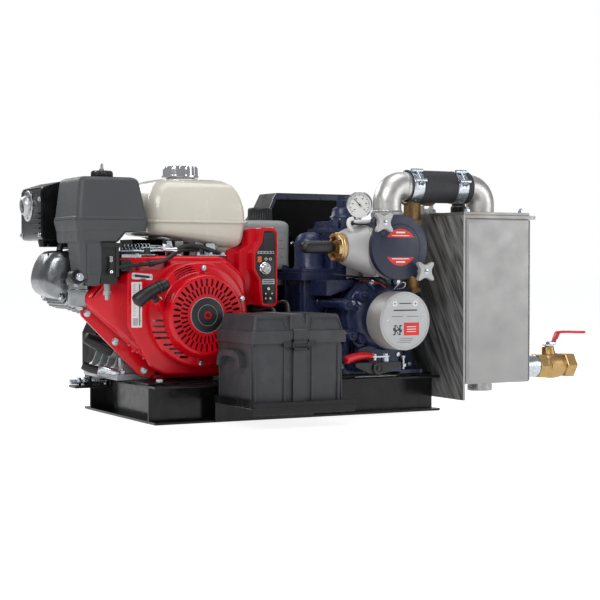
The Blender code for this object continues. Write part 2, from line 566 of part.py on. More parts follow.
# ---------------------------------------------------------------- vacuum pump
def make_pump():
    base = DECK_TOP + GAP
    front, back = -0.150, 0.090
    bore_z, bore = PUMP_Z + 0.009, 0.072
    body = rod("pump_body", (PUMP_X, front, 0.200), (PUMP_X, back, 0.200), 0.086, sides=32)
    weld(body, box("base", (0.116, front, base), (0.304, back, base + 0.014)),
         box("pedestal", (0.146, front + 0.02, base + 0.01), (0.274, back - 0.02, 0.150)),
         box("port_block", (0.076, -0.050, base), (0.150, 0.042, 0.298)),
         box("top_port", (0.120, -0.060, 0.262), (0.240, 0.050, 0.298)),
         box("riser_boss", (0.268, front, 0.196), (0.318, -0.118, RISER_FOOT)))
    cut(body, rod("bore", (PUMP_X, front - 0.01, bore_z), (PUMP_X, 0.078, bore_z), bore, sides=32),
        rod("shaft_hole", (PUMP_X, 0.07, PUMP_Z), (PUMP_X, 0.10, PUMP_Z), 0.0135),
        box("port", (0.170, -0.040, 0.250), (0.215, 0.030, 0.310)))
    finish(body, NAVY_PAINT)

    cover_back, cover_front = front - GAP, -0.175
    cover = rod("pump_end_cover", (PUMP_X, cover_back, 0.200), (PUMP_X, cover_front, 0.200), 0.088, sides=32)
    lugs = [rod("lug", (x, cover_back, z), (x, cover_front - 0.006, z), 0.012, sides=12)
            for x, z in circle(PUMP_X, 0.200, 0.084, sides=8, start=math.radians(22.5))]
    weld(cover, *lugs, box("valve_body", (0.126, -0.222, 0.086), (0.226, cover_back, 0.1095)),
         box("rib", (0.172, -0.180, 0.100), (0.222, -0.160, 0.130)),
         rod("valve_boss", (0.160, -0.229, 0.097), (0.160, -0.215, 0.097), 0.010, sides=20))
    cut(cover, rod("shaft_hole", (PUMP_X, -0.12, PUMP_Z), (PUMP_X, -0.168, PUMP_Z), 0.0135))
    finish(cover, NAVY_PAINT)

    rotor = turned("rotor", [
        (0.0, 0.232), (0.0125, 0.232), (0.0125, 0.076), (0.062, 0.076), (0.062, -0.149), (0.0125, -0.149),
        (0.0125, -0.165), (0.0, -0.165)], (PUMP_X, 0, PUMP_Z), (0, 1, 0), sides=28)
    slots = []
    for i in range(4):
        slot = box("slot", (0.030, -0.160, -0.002), (0.070, 0.090, 0.002))
        turn = Matrix.Translation((PUMP_X, 0, PUMP_Z)) @ Matrix.Rotation(math.radians(90 * i), 4, "Y")
        slot.data.transform(turn @ Matrix.Translation(slot.location))
        slot.location = (0, 0, 0)
        slots.append(slot)
    finish(cut(rotor, *slots), STEEL, (PUMP_X, 0, PUMP_Z))

    dome_x, dome_y, foot = 0.116, -0.010, 0.298 + GAP
    manifold = turned("pump_manifold", [(0.0, 0.082), (0.012, 0.081), (0.024, 0.075), (0.032, 0.063),
                                        (0.034, 0.050), (0.034, 0.007), (0.040, 0.007), (0.040, 0.0),
                                        (0.0, 0.0)], (dome_x, dome_y, foot), (0, 0, 1))
    weld(manifold, box("block", (dome_x, -0.060, foot), (0.240, 0.050, 0.392), bevel=0.005),
         box("top_block", (0.150, -0.040, 0.388), (0.222, 0.040, 0.416), bevel=0.004),
         rod("top_boss", (0.186, 0.0, 0.414), (0.186, 0.0, 0.440), 0.022, sides=24),
         rod("post", (0.205, 0.020, 0.41), (0.205, 0.020, 0.470), 0.009, sides=16))
    cut(manifold, box("passage", (0.168, -0.070, 0.290), (0.217, 0.030, 0.370)))
    finish(manifold, NAVY_PAINT)

    canister = turned("oil_canister", [(0.0, 0.0), (0.060, 0.0), (0.061, -0.001), (0.061, -0.057),
                                       (0.038, -0.057), (0.038, -0.0865), (0.0, -0.0865)],
                      (0.2035, -0.262, 0.197), (0, -1, 0), sides=28)
    finish(canister, CAST_ALUMINIUM)

    pivot = (0.190, -0.205, 0.110)
    lever = rod("four_way_lever", pivot, (pivot[0], pivot[1], 0.127), 0.009, sides=20)
    weld(lever, box("bar", (0.130, -0.211, 0.1185), (0.192, -0.199, 0.1235)),
         bent_rod("grip", [(0.154, -0.205, 0.1215), (0.134, -0.207, 0.1225), (0.113, -0.209, 0.1205),
                           (0.091, -0.213, 0.1165)], 0.0085))
    finish(lever, RED_GRIP, pivot)


# ---------------------------------------------------------------- filter, gauge and suction line
def make_filter():
    """A deep housing that narrows to its outlet, with the relief valve's branch and the inlet spigot."""
    front, shoulder, back = -0.2455, -0.160, -0.0605
    radius, neck, wall, floor = 0.062, 0.040, 0.005, back - 0.0075
    axis = (FILTER_X, 0, FILTER_Z)
    housing = turned("filter_housing", [(0.0, back), (neck, back), (radius, shoulder), (radius, front),
                                        (0.0, front)], axis, (0, 1, 0), sides=28)
    branch = Vector((0.165, RELIEF_Y, FILTER_Z))
    seat = Vector((RELIEF_SEAT_X, RELIEF_Y, FILTER_Z))
    weld(housing, rod("branch", branch, seat, 0.061, 0.034),
         rod("spigot", (INLET_LEG_X, SUCTION_Y, 0.390), (INLET_LEG_X, SUCTION_Y, 0.424), 0.033))
    cut(housing,
        turned("inside", [(0.0, floor), (neck - wall, floor), (radius - wall, shoulder),
                          (radius - wall, front - 0.02), (0.0, front - 0.02)], axis, (0, 1, 0), sides=28),
        box("past_front", (0.080, front - 0.03, 0.270), (0.170, front, 0.430)),
        rod("outlet", (FILTER_X, -0.08, 0.345), (FILTER_X, -0.05, 0.345), 0.022),
        rod("inlet", (INLET_LEG_X, SUCTION_Y, 0.38), (INLET_LEG_X, SUCTION_Y, 0.44), 0.027),
        rod("relief", branch, seat - Vector((0.01, 0, 0)), 0.018))
    finish(housing, CAST_ALUMINIUM)

    lid_back, lid_front = front - GAP, -0.262
    lid = rod("filter_lid", (FILTER_X, lid_back, FILTER_Z), (FILTER_X, lid_front, FILTER_Z), 0.0680, sides=32)
    arm = 0.0707
    for name, sign in (("upper", 1), ("lower", -1)):
        x, z = FILTER_X - sign * arm / math.sqrt(2), FILTER_Z + sign * arm / math.sqrt(2)
        weld(lid, rod("ear", (x, lid_back, z), (x, lid_front, z), 0.014, sides=20))
        knob_star(f"{name}_star_knob", x, z, lid_front - GAP)
    finish(lid, NAVY_PAINT)

    element = turned("filter_element", [(0.044, -0.128), (0.044, -0.236), (0.029, -0.236), (0.029, -0.128)],
                     axis, (0, 1, 0), sides=32)
    finish(element, PAPER)


def knob_star(name, x, z, back):
    """A four-pointed knob on a short boss."""
    points = []
    for i in range(8):
        angle = math.radians(45 + 45 * i)
        reach = 0.0265 if i % 2 == 0 else 0.0125
        points.append((reach * math.cos(angle), reach * math.sin(angle)))
    star = plate(name, [points], back - 0.022, back - 0.010, at=(x, z))
    weld(star, rod("boss", (x, back, z), (x, back - 0.012, z), 0.009, sides=16))
    finish(star, CAST_ALUMINIUM, (x, back, z))


def make_gauge():
    """A vacuum gauge, turned on its stem to face the operator."""
    x, z, front, back, stem_y = 0.123, 0.438, -0.222, -0.204, -0.210
    case = rod("gauge_case", (x, back, z), (x, front, z), 0.0275)
    weld(case, rod("stem", (x, stem_y, 0.3980), (x, stem_y, 0.416), 0.005, sides=16))
    cut(case, rod("recess", (x, front + 0.006, z), (x, front - 0.01, z), 0.0250))
    finish(case, CHROME)
    pivot = (x, front + 0.0055, z)
    needle = rod("gauge_needle", pivot, (x, front + 0.0030, z), 0.0022, sides=12)
    pointer = box("pointer", (-0.0006, -0.0006, -0.007), (0.0006, 0.0002, 0.018))
    heading = Matrix.Translation((x, front + 0.0042, z)) @ Matrix.Rotation(math.radians(-43), 4, "Y")
    pointer.data.transform(heading @ Matrix.Translation(pointer.location))
    pointer.location = (0, 0, 0)
    weld(needle, pointer)
    finish(needle, BLACK_PLASTIC, pivot)
    bpy.context.view_layer.update()
    for piece in (case, needle):
        piece.matrix_world = (Matrix.Translation((x, stem_y, 0)) @ Matrix.Rotation(GAUGE_TURN, 4, "Z")
                              @ Matrix.Translation((-x, -stem_y, 0)) @ piece.matrix_world)


def make_relief_valve():
    """The brass ring on the filter's branch, and the knob that sets its spring."""
    height = 0.0185
    body = turned("relief_valve_body", [(0.0, height), (0.0285, height), (0.0305, height - 0.002),
                                        (0.0305, 0.0), (0.0140, 0.0), (0.0140, 0.010), (0.0, 0.010)],
                  (RELIEF_SEAT_X - GAP, RELIEF_Y, FILTER_Z), (-1, 0, 0))
    finish(body, BRASS)
    at = (RELIEF_SEAT_X - height - 2 * GAP, RELIEF_Y, FILTER_Z)
    finish(rod("relief_knob", at, (-0.005, RELIEF_Y, FILTER_Z), 0.013), BLACK_PLASTIC, at)


def elbow_points(leg_x, leg_low, toward, spigot):
    """The centre line of an elbow that rises from a leg and turns along X."""
    points = [(leg_x, SUCTION_Y, leg_low)]
    centre_x, centre_z = leg_x + toward * ELBOW_RADIUS, SUCTION_Z - ELBOW_RADIUS
    for i in range(7):
        a = math.radians(90 * i / 6)
        points.append((centre_x - toward * ELBOW_RADIUS * math.cos(a), SUCTION_Y,
                       centre_z + ELBOW_RADIUS * math.sin(a)))
    points.append((centre_x + toward * spigot, SUCTION_Y, SUCTION_Z))
    return points


def elbow(name, leg_x, leg_low, toward, spigot):
    """A bent pipe."""
    outer = bent_rod(name, elbow_points(leg_x, leg_low, toward, spigot), PIPE_RADIUS, resolution=5)
    inner = bent_rod("inner", elbow_points(leg_x, leg_low - 0.002, toward, spigot + 0.002),
                     PIPE_RADIUS - PIPE_WALL, resolution=4)
    return cut(outer, inner)


def make_suction():
    finish(elbow("inlet_elbow", INLET_LEG_X, 0.424 + GAP, 1, 0.055), STAINLESS)
    hose_low, hose_high = 0.2405, 0.3940
    outer, inner = 0.0345, PIPE_RADIUS + GAP
    hose = turned("suction_hose", [(outer, hose_high), (outer, hose_low), (inner, hose_low),
                                   (inner, hose_high)], (0, SUCTION_Y, SUCTION_Z), (1, 0, 0), sides=28)
    finish(hose, RUBBER)

    x, y, run_z = 0.297, -0.140, 0.462
    tee = rod("brass_tee", (0.275, y, run_z), (0.352, y, run_z), 0.020)
    weld(tee, rod("branch", (x, y, 0.404), (x, y, run_z), 0.019),
         rod("nut", (x, y, 0.398), (x, y, 0.410), 0.024, sides=6),
         rod("riser", (x, y, RISER_FOOT + GAP), (x, y, 0.410), 0.0165))
    finish(tee, BRASS)


# ---------------------------------------------------------------- moisture trap
def make_trap():
    inner_x = TRAP_PLATE_X + TRAP_PLATE_WALL
    wall = 0.003
    trap = box("trap_box", (inner_x - 0.001, TRAP_FRONT, TRAP_BOTTOM), (TRAP_RIGHT, TRAP_BACK, TRAP_TOP))
    spigot = Vector((TRAP_LEG_X, SUCTION_Y, TRAP_BOTTOM))
    nipple = Vector((TRAP_RIGHT, VALVE_Y, VALVE_Z))
    nipple_end = 0.556
    weld(trap,
         box("plate", (TRAP_PLATE_X, TRAP_FRONT, 0.028), (inner_x, -0.020, TRAP_TOP + 0.007)),
         box("flange", (inner_x - 0.001, TRAP_FRONT, TRAP_TOP - 0.001), (TRAP_RIGHT + 0.017, TRAP_BACK,
                                                                        TRAP_TOP + 0.007)),
         rod("spigot", spigot + Vector((0, 0, 0.002)), spigot - Vector((0, 0, 0.022)), 0.027),
         rod("nipple", nipple - Vector((0.002, 0, 0)), (nipple_end, VALVE_Y, VALVE_Z), 0.0238))
    cut(trap,
        box("inside", (inner_x + wall, TRAP_FRONT + wall, TRAP_BOTTOM + wall),
            (TRAP_RIGHT - wall, TRAP_BACK - wall, TRAP_TOP + 0.02)),
        rod("spigot_bore", spigot + Vector((0, 0, 0.01)), spigot - Vector((0, 0, 0.03)), 0.0235),
        rod("nipple_bore", nipple - Vector((0.01, 0, 0)), (nipple_end + 0.01, VALVE_Y, VALVE_Z), 0.0200))
    finish(trap, STAINLESS)

    lid_low, lid_high = TRAP_TOP + 0.007 + GAP, TRAP_TOP + 0.013
    lid = box("trap_lid", (TRAP_PLATE_X + 0.001, TRAP_FRONT, lid_low), (TRAP_RIGHT, TRAP_BACK, lid_high))
    weld(lid, elbow("leg", TRAP_LEG_X, lid_high - 0.001, -1, 0.050))
    cut(lid, rod("port", (TRAP_LEG_X, SUCTION_Y, 0.40), (TRAP_LEG_X, SUCTION_Y, lid_high), 0.0271))
    bolts = [rod("bolt", (x, y, lid_high - 0.001), (x, y, lid_high + 0.006), 0.0065, sides=6)
             for x in (0.350, 0.489) for y in (TRAP_FRONT + 0.014, TRAP_BACK - 0.014)]
    finish(weld(lid, *bolts), STAINLESS)
    return nipple_end


def make_drain_valve(start):
    """A full-bore ball valve: body, ball on its stem, and lever."""
    stem_x = start + 0.040
    body = rod("ball_valve_body", (start + GAP, VALVE_Y, VALVE_Z), (start + 0.099, VALVE_Y, VALVE_Z), 0.024)
    weld(body,
         rod("left_hex", (start + GAP, VALVE_Y, VALVE_Z), (start + 0.022, VALVE_Y, VALVE_Z), 0.0290, sides=6),
         rod("right_hex", (start + 0.072, VALVE_Y, VALVE_Z), (start + 0.099, VALVE_Y, VALVE_Z), 0.0290,
             sides=6),
         rod("belly", (start + 0.0215, VALVE_Y, VALVE_Z), (start + 0.0675, VALVE_Y, VALVE_Z), 0.0280),
         rod("neck", (stem_x, VALVE_Y, VALVE_Z), (stem_x, VALVE_Y, VALVE_Z + 0.043), 0.011, sides=24))
    cut(body, rod("bore", (start - 0.01, VALVE_Y, VALVE_Z), (start + 0.12, VALVE_Y, VALVE_Z), 0.0165),
        rod("ball_room", (stem_x - 0.0232, VALVE_Y, VALVE_Z), (stem_x + 0.0232, VALVE_Y, VALVE_Z), 0.0235),
        rod("stem_hole", (stem_x, VALVE_Y, VALVE_Z), (stem_x, VALVE_Y, VALVE_Z + 0.06), 0.0058, sides=20))
    finish(body, BRASS)

    at = (stem_x, VALVE_Y, VALVE_Z)
    reach = 0.0225
    arc = [math.radians(90 - 180 * i / 8) for i in range(9)]
    ball = turned("valve_ball", [(max(0.0, reach * math.cos(a)), reach * math.sin(a)) for a in arc], at,
                  (0, 0, 1), sides=16)
    weld(ball, rod("stem", (stem_x, VALVE_Y, VALVE_Z + 0.018), (stem_x, VALVE_Y, VALVE_Z + 0.0535), 0.0052,
                   sides=16))
    cut(ball, rod("way", (stem_x - 0.03, VALVE_Y, VALVE_Z), (stem_x + 0.03, VALVE_Y, VALVE_Z), 0.0150))
    finish(ball, CHROME, at)

    low, high, thick, half = VALVE_Z + 0.0435, VALVE_Z + 0.072, 0.003, 0.0085
    lever = box("ball_valve_lever", (stem_x - 0.014, VALVE_Y - half, low), (stem_x + 0.012, VALVE_Y + half,
                                                                            low + thick))
    slope = plate("slope", [[(stem_x + 0.0100, low), (stem_x + 0.0140, low), (stem_x + 0.0260, high),
                             (stem_x + 0.0220, high + thick)]], VALVE_Y - half, VALVE_Y + half)
    weld(lever, slope,
         box("handle", (stem_x + 0.0225, VALVE_Y - half, high - 0.001), (stem_x + 0.097, VALVE_Y + half,
                                                                        high + thick + 0.002), bevel=0.002))
    cut(lever,
        rod("stem_way", (stem_x, VALVE_Y, low - 0.01), (stem_x, VALVE_Y, low + 0.01), 0.0055, sides=16))
    finish(lever, RED_GRIP, at)


# ---------------------------------------------------------------- oil tank and battery
def make_oil_tank():
    low, high, wall = Vector((-0.012, 0.050, 0.266)), Vector((0.0995, 0.150, 0.412)), 0.0025
    thick = Vector((wall, wall, wall))
    tank = box("oil_tank", low, high, bevel=0.012, segments=3)
    neck = Vector((0.046, 0.098, high.z))
    weld(tank, rod("neck", neck - Vector((0, 0, 0.005)), neck + Vector((0, 0, 0.014)), 0.0235, sides=24))
    cut(tank, box("inside", low + thick, high - thick, bevel=0.010),
        rod("filler", neck - Vector((0, 0, 0.02)), neck + Vector((0, 0, 0.03)), 0.020, sides=24))
    finish(tank, TANK_PLASTIC)
    cap = turned("oil_tank_cap", [(0.0, 0.029), (0.0265, 0.029), (0.028, 0.027), (0.028, 0.001),
                                  (0.0245, 0.001), (0.0245, 0.0145), (0.0, 0.0145)], tuple(neck), (0, 0, 1))
    finish(cap, BLACK_PLASTIC, tuple(neck))


def make_battery():
    case = shell_box("battery_case", (-0.198, -0.361, TRAY_TOP + GAP), (-0.002, -0.206, 0.186), 0.003,
                     bevel=0.006)
    finish(case, GREY_PLASTIC)
    finish(box("battery", (-0.190, -0.350, 0.048), (-0.010, -0.217, 0.200), bevel=0.002), BLACK_PLASTIC)
    lid = box("battery_lid", (-0.2015, -0.3665, 0.163), (0.018, -0.2005, 0.188), bevel=0.003)
    weld(lid, box("crown", (-0.199, -0.362, 0.180), (-0.004, -0.205, 0.2185), bevel=0.006))
    cut(lid, box("skirt_space", (-0.1985, -0.3615, 0.150), (-0.0015, -0.2055, 0.190)),
        box("crown_space", (-0.1955, -0.3585, 0.180), (-0.0075, -0.2085, 0.215)))
    finish(lid, GREY_PLASTIC)


make_skid()
make_crankcase()
make_cylinder()
make_shroud()
make_recoil()
make_crank()
make_drive()
make_air_system()
make_muffler()
make_fuel_tank()
make_controls()
make_pump()
make_filter()
make_gauge()
make_relief_valve()
make_suction()
make_drain_valve(make_trap())
make_oil_tank()
make_battery()
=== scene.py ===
from math import acos, copysign, cos, exp, pi, radians, sin, sqrt, tan
import random

import bmesh
import bpy
from mathutils import Matrix, Vector


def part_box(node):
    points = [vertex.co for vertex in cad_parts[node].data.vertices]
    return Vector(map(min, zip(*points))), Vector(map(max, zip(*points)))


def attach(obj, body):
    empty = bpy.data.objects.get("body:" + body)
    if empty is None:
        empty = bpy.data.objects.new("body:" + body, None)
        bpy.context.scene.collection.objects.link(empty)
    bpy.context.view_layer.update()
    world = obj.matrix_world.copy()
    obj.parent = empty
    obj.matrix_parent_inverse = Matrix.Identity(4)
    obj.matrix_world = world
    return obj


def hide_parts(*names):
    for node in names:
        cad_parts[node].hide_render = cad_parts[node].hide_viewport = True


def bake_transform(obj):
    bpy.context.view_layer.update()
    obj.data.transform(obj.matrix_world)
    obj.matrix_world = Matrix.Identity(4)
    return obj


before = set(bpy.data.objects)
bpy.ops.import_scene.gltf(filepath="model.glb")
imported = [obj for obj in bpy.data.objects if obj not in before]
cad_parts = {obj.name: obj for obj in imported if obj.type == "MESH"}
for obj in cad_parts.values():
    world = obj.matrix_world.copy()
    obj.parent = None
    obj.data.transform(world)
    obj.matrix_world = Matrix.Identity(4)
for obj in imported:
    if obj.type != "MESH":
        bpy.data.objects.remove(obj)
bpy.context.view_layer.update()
rng = random.Random(7)
scene = bpy.context.scene

RIGHT, LEFT, BACK, FRONT, UP, DOWN = (1, 0, 0), (-1, 0, 0), (0, 1, 0), (0, -1, 0), (0, 0, 1), (0, 0, -1)
CRANK = Vector((-0.215, 0, 0.2133))                      # the crankshaft's line, along Y
PIPE, BEND = 0.03015, 0.036                              # suction pipe: radius, and radius of its bends
LINE_Y, LINE_Z = -0.204, 0.48                            # the suction line's axis, along X
PUMP_LEG, TRAP_LEG = 0.1946, 0.431                       # X of its two legs
CLAMPS = (0.2545, 0.366)                                 # X of the two hose clamps
DRAIN_Y, DRAIN_Z = -0.235, 0.091                         # the drain valve's bore, along X


# ---------------------------------------------------------------- camera, floor and light
def make_stage():
    """The photograph's viewing angle, a pale floor and soft boxes."""
    scene.view_settings.view_transform = "Standard"
    camera = bpy.data.objects.new("camera", bpy.data.cameras.new("camera"))
    scene.collection.objects.link(camera)
    camera.location = (-1.45055, -2.90757, 0.3132)
    camera.rotation_euler = (radians(88.663), 0, radians(-28.0))
    camera.data.lens, camera.data.sensor_width = 90.0, 36.0
    camera.data.clip_end = 60.0
    scene.camera = camera

    world = bpy.data.worlds.new("studio")
    world.use_nodes = True
    tree = world.node_tree
    tree.nodes.clear()
    output = tree.nodes.new("ShaderNodeOutputWorld")
    mix = tree.nodes.new("ShaderNodeMixShader")
    path = tree.nodes.new("ShaderNodeLightPath")
    seen, lit = tree.nodes.new("ShaderNodeBackground"), tree.nodes.new("ShaderNodeBackground")
    seen.inputs["Color"].default_value = (1.0, 1.0, 1.0, 1)
    lit.inputs["Color"].default_value = (0.86, 0.88, 0.92, 1)
    lit.inputs["Strength"].default_value = 0.34
    tree.links.new(path.outputs["Is Camera Ray"], mix.inputs["Fac"])
    tree.links.new(lit.outputs[0], mix.inputs[1])
    tree.links.new(seen.outputs[0], mix.inputs[2])
    tree.links.new(mix.outputs[0], output.inputs["Surface"])
    scene.world = world

    def soft_box(name, at, aim, size, power):
        light = bpy.data.lights.new(name, "AREA")
        light.shape = "RECTANGLE"
        light.size, light.size_y = size
        light.energy = power
        obj = bpy.data.objects.new(name, light)
        obj.location = at
        obj.rotation_euler = (Vector(aim) - Vector(at)).to_track_quat("-Z", "Y").to_euler()
        scene.collection.objects.link(obj)

    centre = (0, -0.05, 0.25)
    soft_box("key", (-2.6, -2.4, 2.6), centre, (2.2, 1.6), 72)
    soft_box("fill", (2.6, -2.6, 1.1), centre, (1.8, 1.8), 22)
    soft_box("top", (0.2, -0.3, 3.0), centre, (2.6, 1.6), 30)
    soft_box("rim", (-1.0, 2.6, 2.0), centre, (2.4, 1.2), 34)
    soft_box("back_fill", (2.2, 2.4, 1.2), centre, (1.6, 1.6), 18)

    floor_material = bpy.data.materials.new("pale_floor")
    floor_material.use_nodes = True
    shader = floor_material.node_tree.nodes["Principled BSDF"]
    shader.inputs["Base Color"].default_value = (0.26, 0.26, 0.26, 1)
    shader.inputs["Roughness"].default_value = 0.6
    shader.inputs["Emission Color"].default_value = (1.0, 1.0, 1.0, 1)
    shader.inputs["Emission Strength"].default_value = 0.88
    mesh = bpy.data.meshes.new("floor")
    mesh.from_pydata([(-30, -30, -0.0005), (30, -30, -0.0005), (30, 30, -0.0005), (-30, 30, -0.0005)], [],
                     [(0, 1, 2, 3)])
    floor = bpy.data.objects.new("floor", mesh)
    mesh.materials.append(floor_material)
    scene.collection.objects.link(floor)


# ---------------------------------------------------------------- materials
def surface(name, colour, roughness, metallic=0.0, vary=0.12, vary_size=0.05, rough_vary=0.08, grain=0.0,
            grain_size=0.0006, brushed=None, coat=0.0, dirt=None, specular=0.5, sheen=0.0):
    """A Principled material whose colour, roughness and bump come from noise in metres.

    brushed is the axis along which the grain runs; dirt is (colour, amount, size) of soft stains."""
    mat = bpy.data.materials.new(name)
    mat.use_nodes = True
    tree = mat.node_tree
    shader = tree.nodes["Principled BSDF"]
    shader.inputs["Metallic"].default_value = metallic
    shader.inputs["Coat Weight"].default_value = coat
    shader.inputs["Coat Roughness"].default_value = 0.08
    shader.inputs["Specular IOR Level"].default_value = specular
    shader.inputs["Sheen Weight"].default_value = sheen
    coords = tree.nodes.new("ShaderNodeTexCoord").outputs["Object"]

    def noise(size, detail=4.0, stretch=None):
        tex = tree.nodes.new("ShaderNodeTexNoise")
        tex.inputs["Scale"].default_value = 1.0 / size
        tex.inputs["Detail"].default_value = detail
        source = coords
        if stretch is not None:
            mapping = tree.nodes.new("ShaderNodeMapping")
            mapping.inputs["Scale"].default_value = stretch
            tree.links.new(coords, mapping.inputs["Vector"])
            source = mapping.outputs["Vector"]
        tree.links.new(source, tex.inputs["Vector"])
        return tex.outputs["Fac"]

    def ramp(factor, low, high, low_at=0.3, high_at=0.7):
        node = tree.nodes.new("ShaderNodeValToRGB")
        first, last = node.color_ramp.elements
        first.position, last.position = low_at, high_at
        first.color, last.color = (*low, 1), (*high, 1)
        tree.links.new(factor, node.inputs["Fac"])
        return node.outputs["Color"]

    dark = [c * (1 - vary) for c in colour]
    light = [min(1.0, c * (1 + vary)) for c in colour]
    tone = ramp(noise(vary_size), dark, light)
    if dirt is not None:
        stain, amount, size = dirt
        mask = ramp(noise(size, 7.0), (0, 0, 0), (amount, amount, amount), 0.52, 0.72)
        mix = tree.nodes.new("ShaderNodeMix")
        mix.data_type = "RGBA"
        tree.links.new(mask, mix.inputs["Factor"])
        tree.links.new(tone, mix.inputs["A"])
        mix.inputs["B"].default_value = (*stain, 1)
        tone = mix.outputs["Result"]
    tree.links.new(tone, shader.inputs["Base Color"])
    if rough_vary:
        low, high = max(0, roughness - rough_vary), min(1.0, roughness + rough_vary)
        tree.links.new(ramp(noise(vary_size * 0.4, 5.0), (low,) * 3, (high,) * 3), shader.inputs["Roughness"])
    else:
        shader.inputs["Roughness"].default_value = roughness
    if grain or brushed:
        bump = tree.nodes.new("ShaderNodeBump")
        bump.inputs["Distance"].default_value = 0.0004
        if brushed:
            stretch = [1.0, 1.0, 1.0]
            stretch["XYZ".index(brushed)] = 0.02
            fine = noise(0.0009, 3.0, stretch)
            bump.inputs["Strength"].default_value = grain or 0.3
        else:
            fine = noise(grain_size, 2.0)
            bump.inputs["Strength"].default_value = grain
        tree.links.new(fine, bump.inputs["Height"])
        tree.links.new(bump.outputs["Normal"], shader.inputs["Normal"])
    return mat


def streaked_steel(name):
    """Dark stainless plate with long curved grinding streaks."""
    mat = surface(name, (0.23, 0.23, 0.225), 0.46, 0.45, vary=0.25, vary_size=0.12)
    tree = mat.node_tree
    shader = tree.nodes["Principled BSDF"]
    coords = tree.nodes.new("ShaderNodeTexCoord").outputs["Object"]
    mapping = tree.nodes.new("ShaderNodeMapping")
    mapping.vector_type = "TEXTURE"
    mapping.inputs["Rotation"].default_value = (radians(-33), 0, 0)
    mapping.inputs["Scale"].default_value = (1.0, 0.14, 1.4)
    wave = tree.nodes.new("ShaderNodeTexNoise")
    wave.inputs["Scale"].default_value = 9.0
    wave.inputs["Detail"].default_value = 9.0
    wave.inputs["Distortion"].default_value = 1.1
    ramp = tree.nodes.new("ShaderNodeValToRGB")
    for element, (place, level) in zip(ramp.color_ramp.elements, ((0.38, 0.075), (0.66, 0.36))):
        element.position, element.color = place, (level, level, level * 0.98, 1)
    tree.links.new(coords, mapping.inputs["Vector"])
    tree.links.new(mapping.outputs["Vector"], wave.inputs["Vector"])
    tree.links.new(wave.outputs["Fac"], ramp.inputs["Fac"])
    tree.links.new(ramp.outputs["Color"], shader.inputs["Base Color"])
    return mat


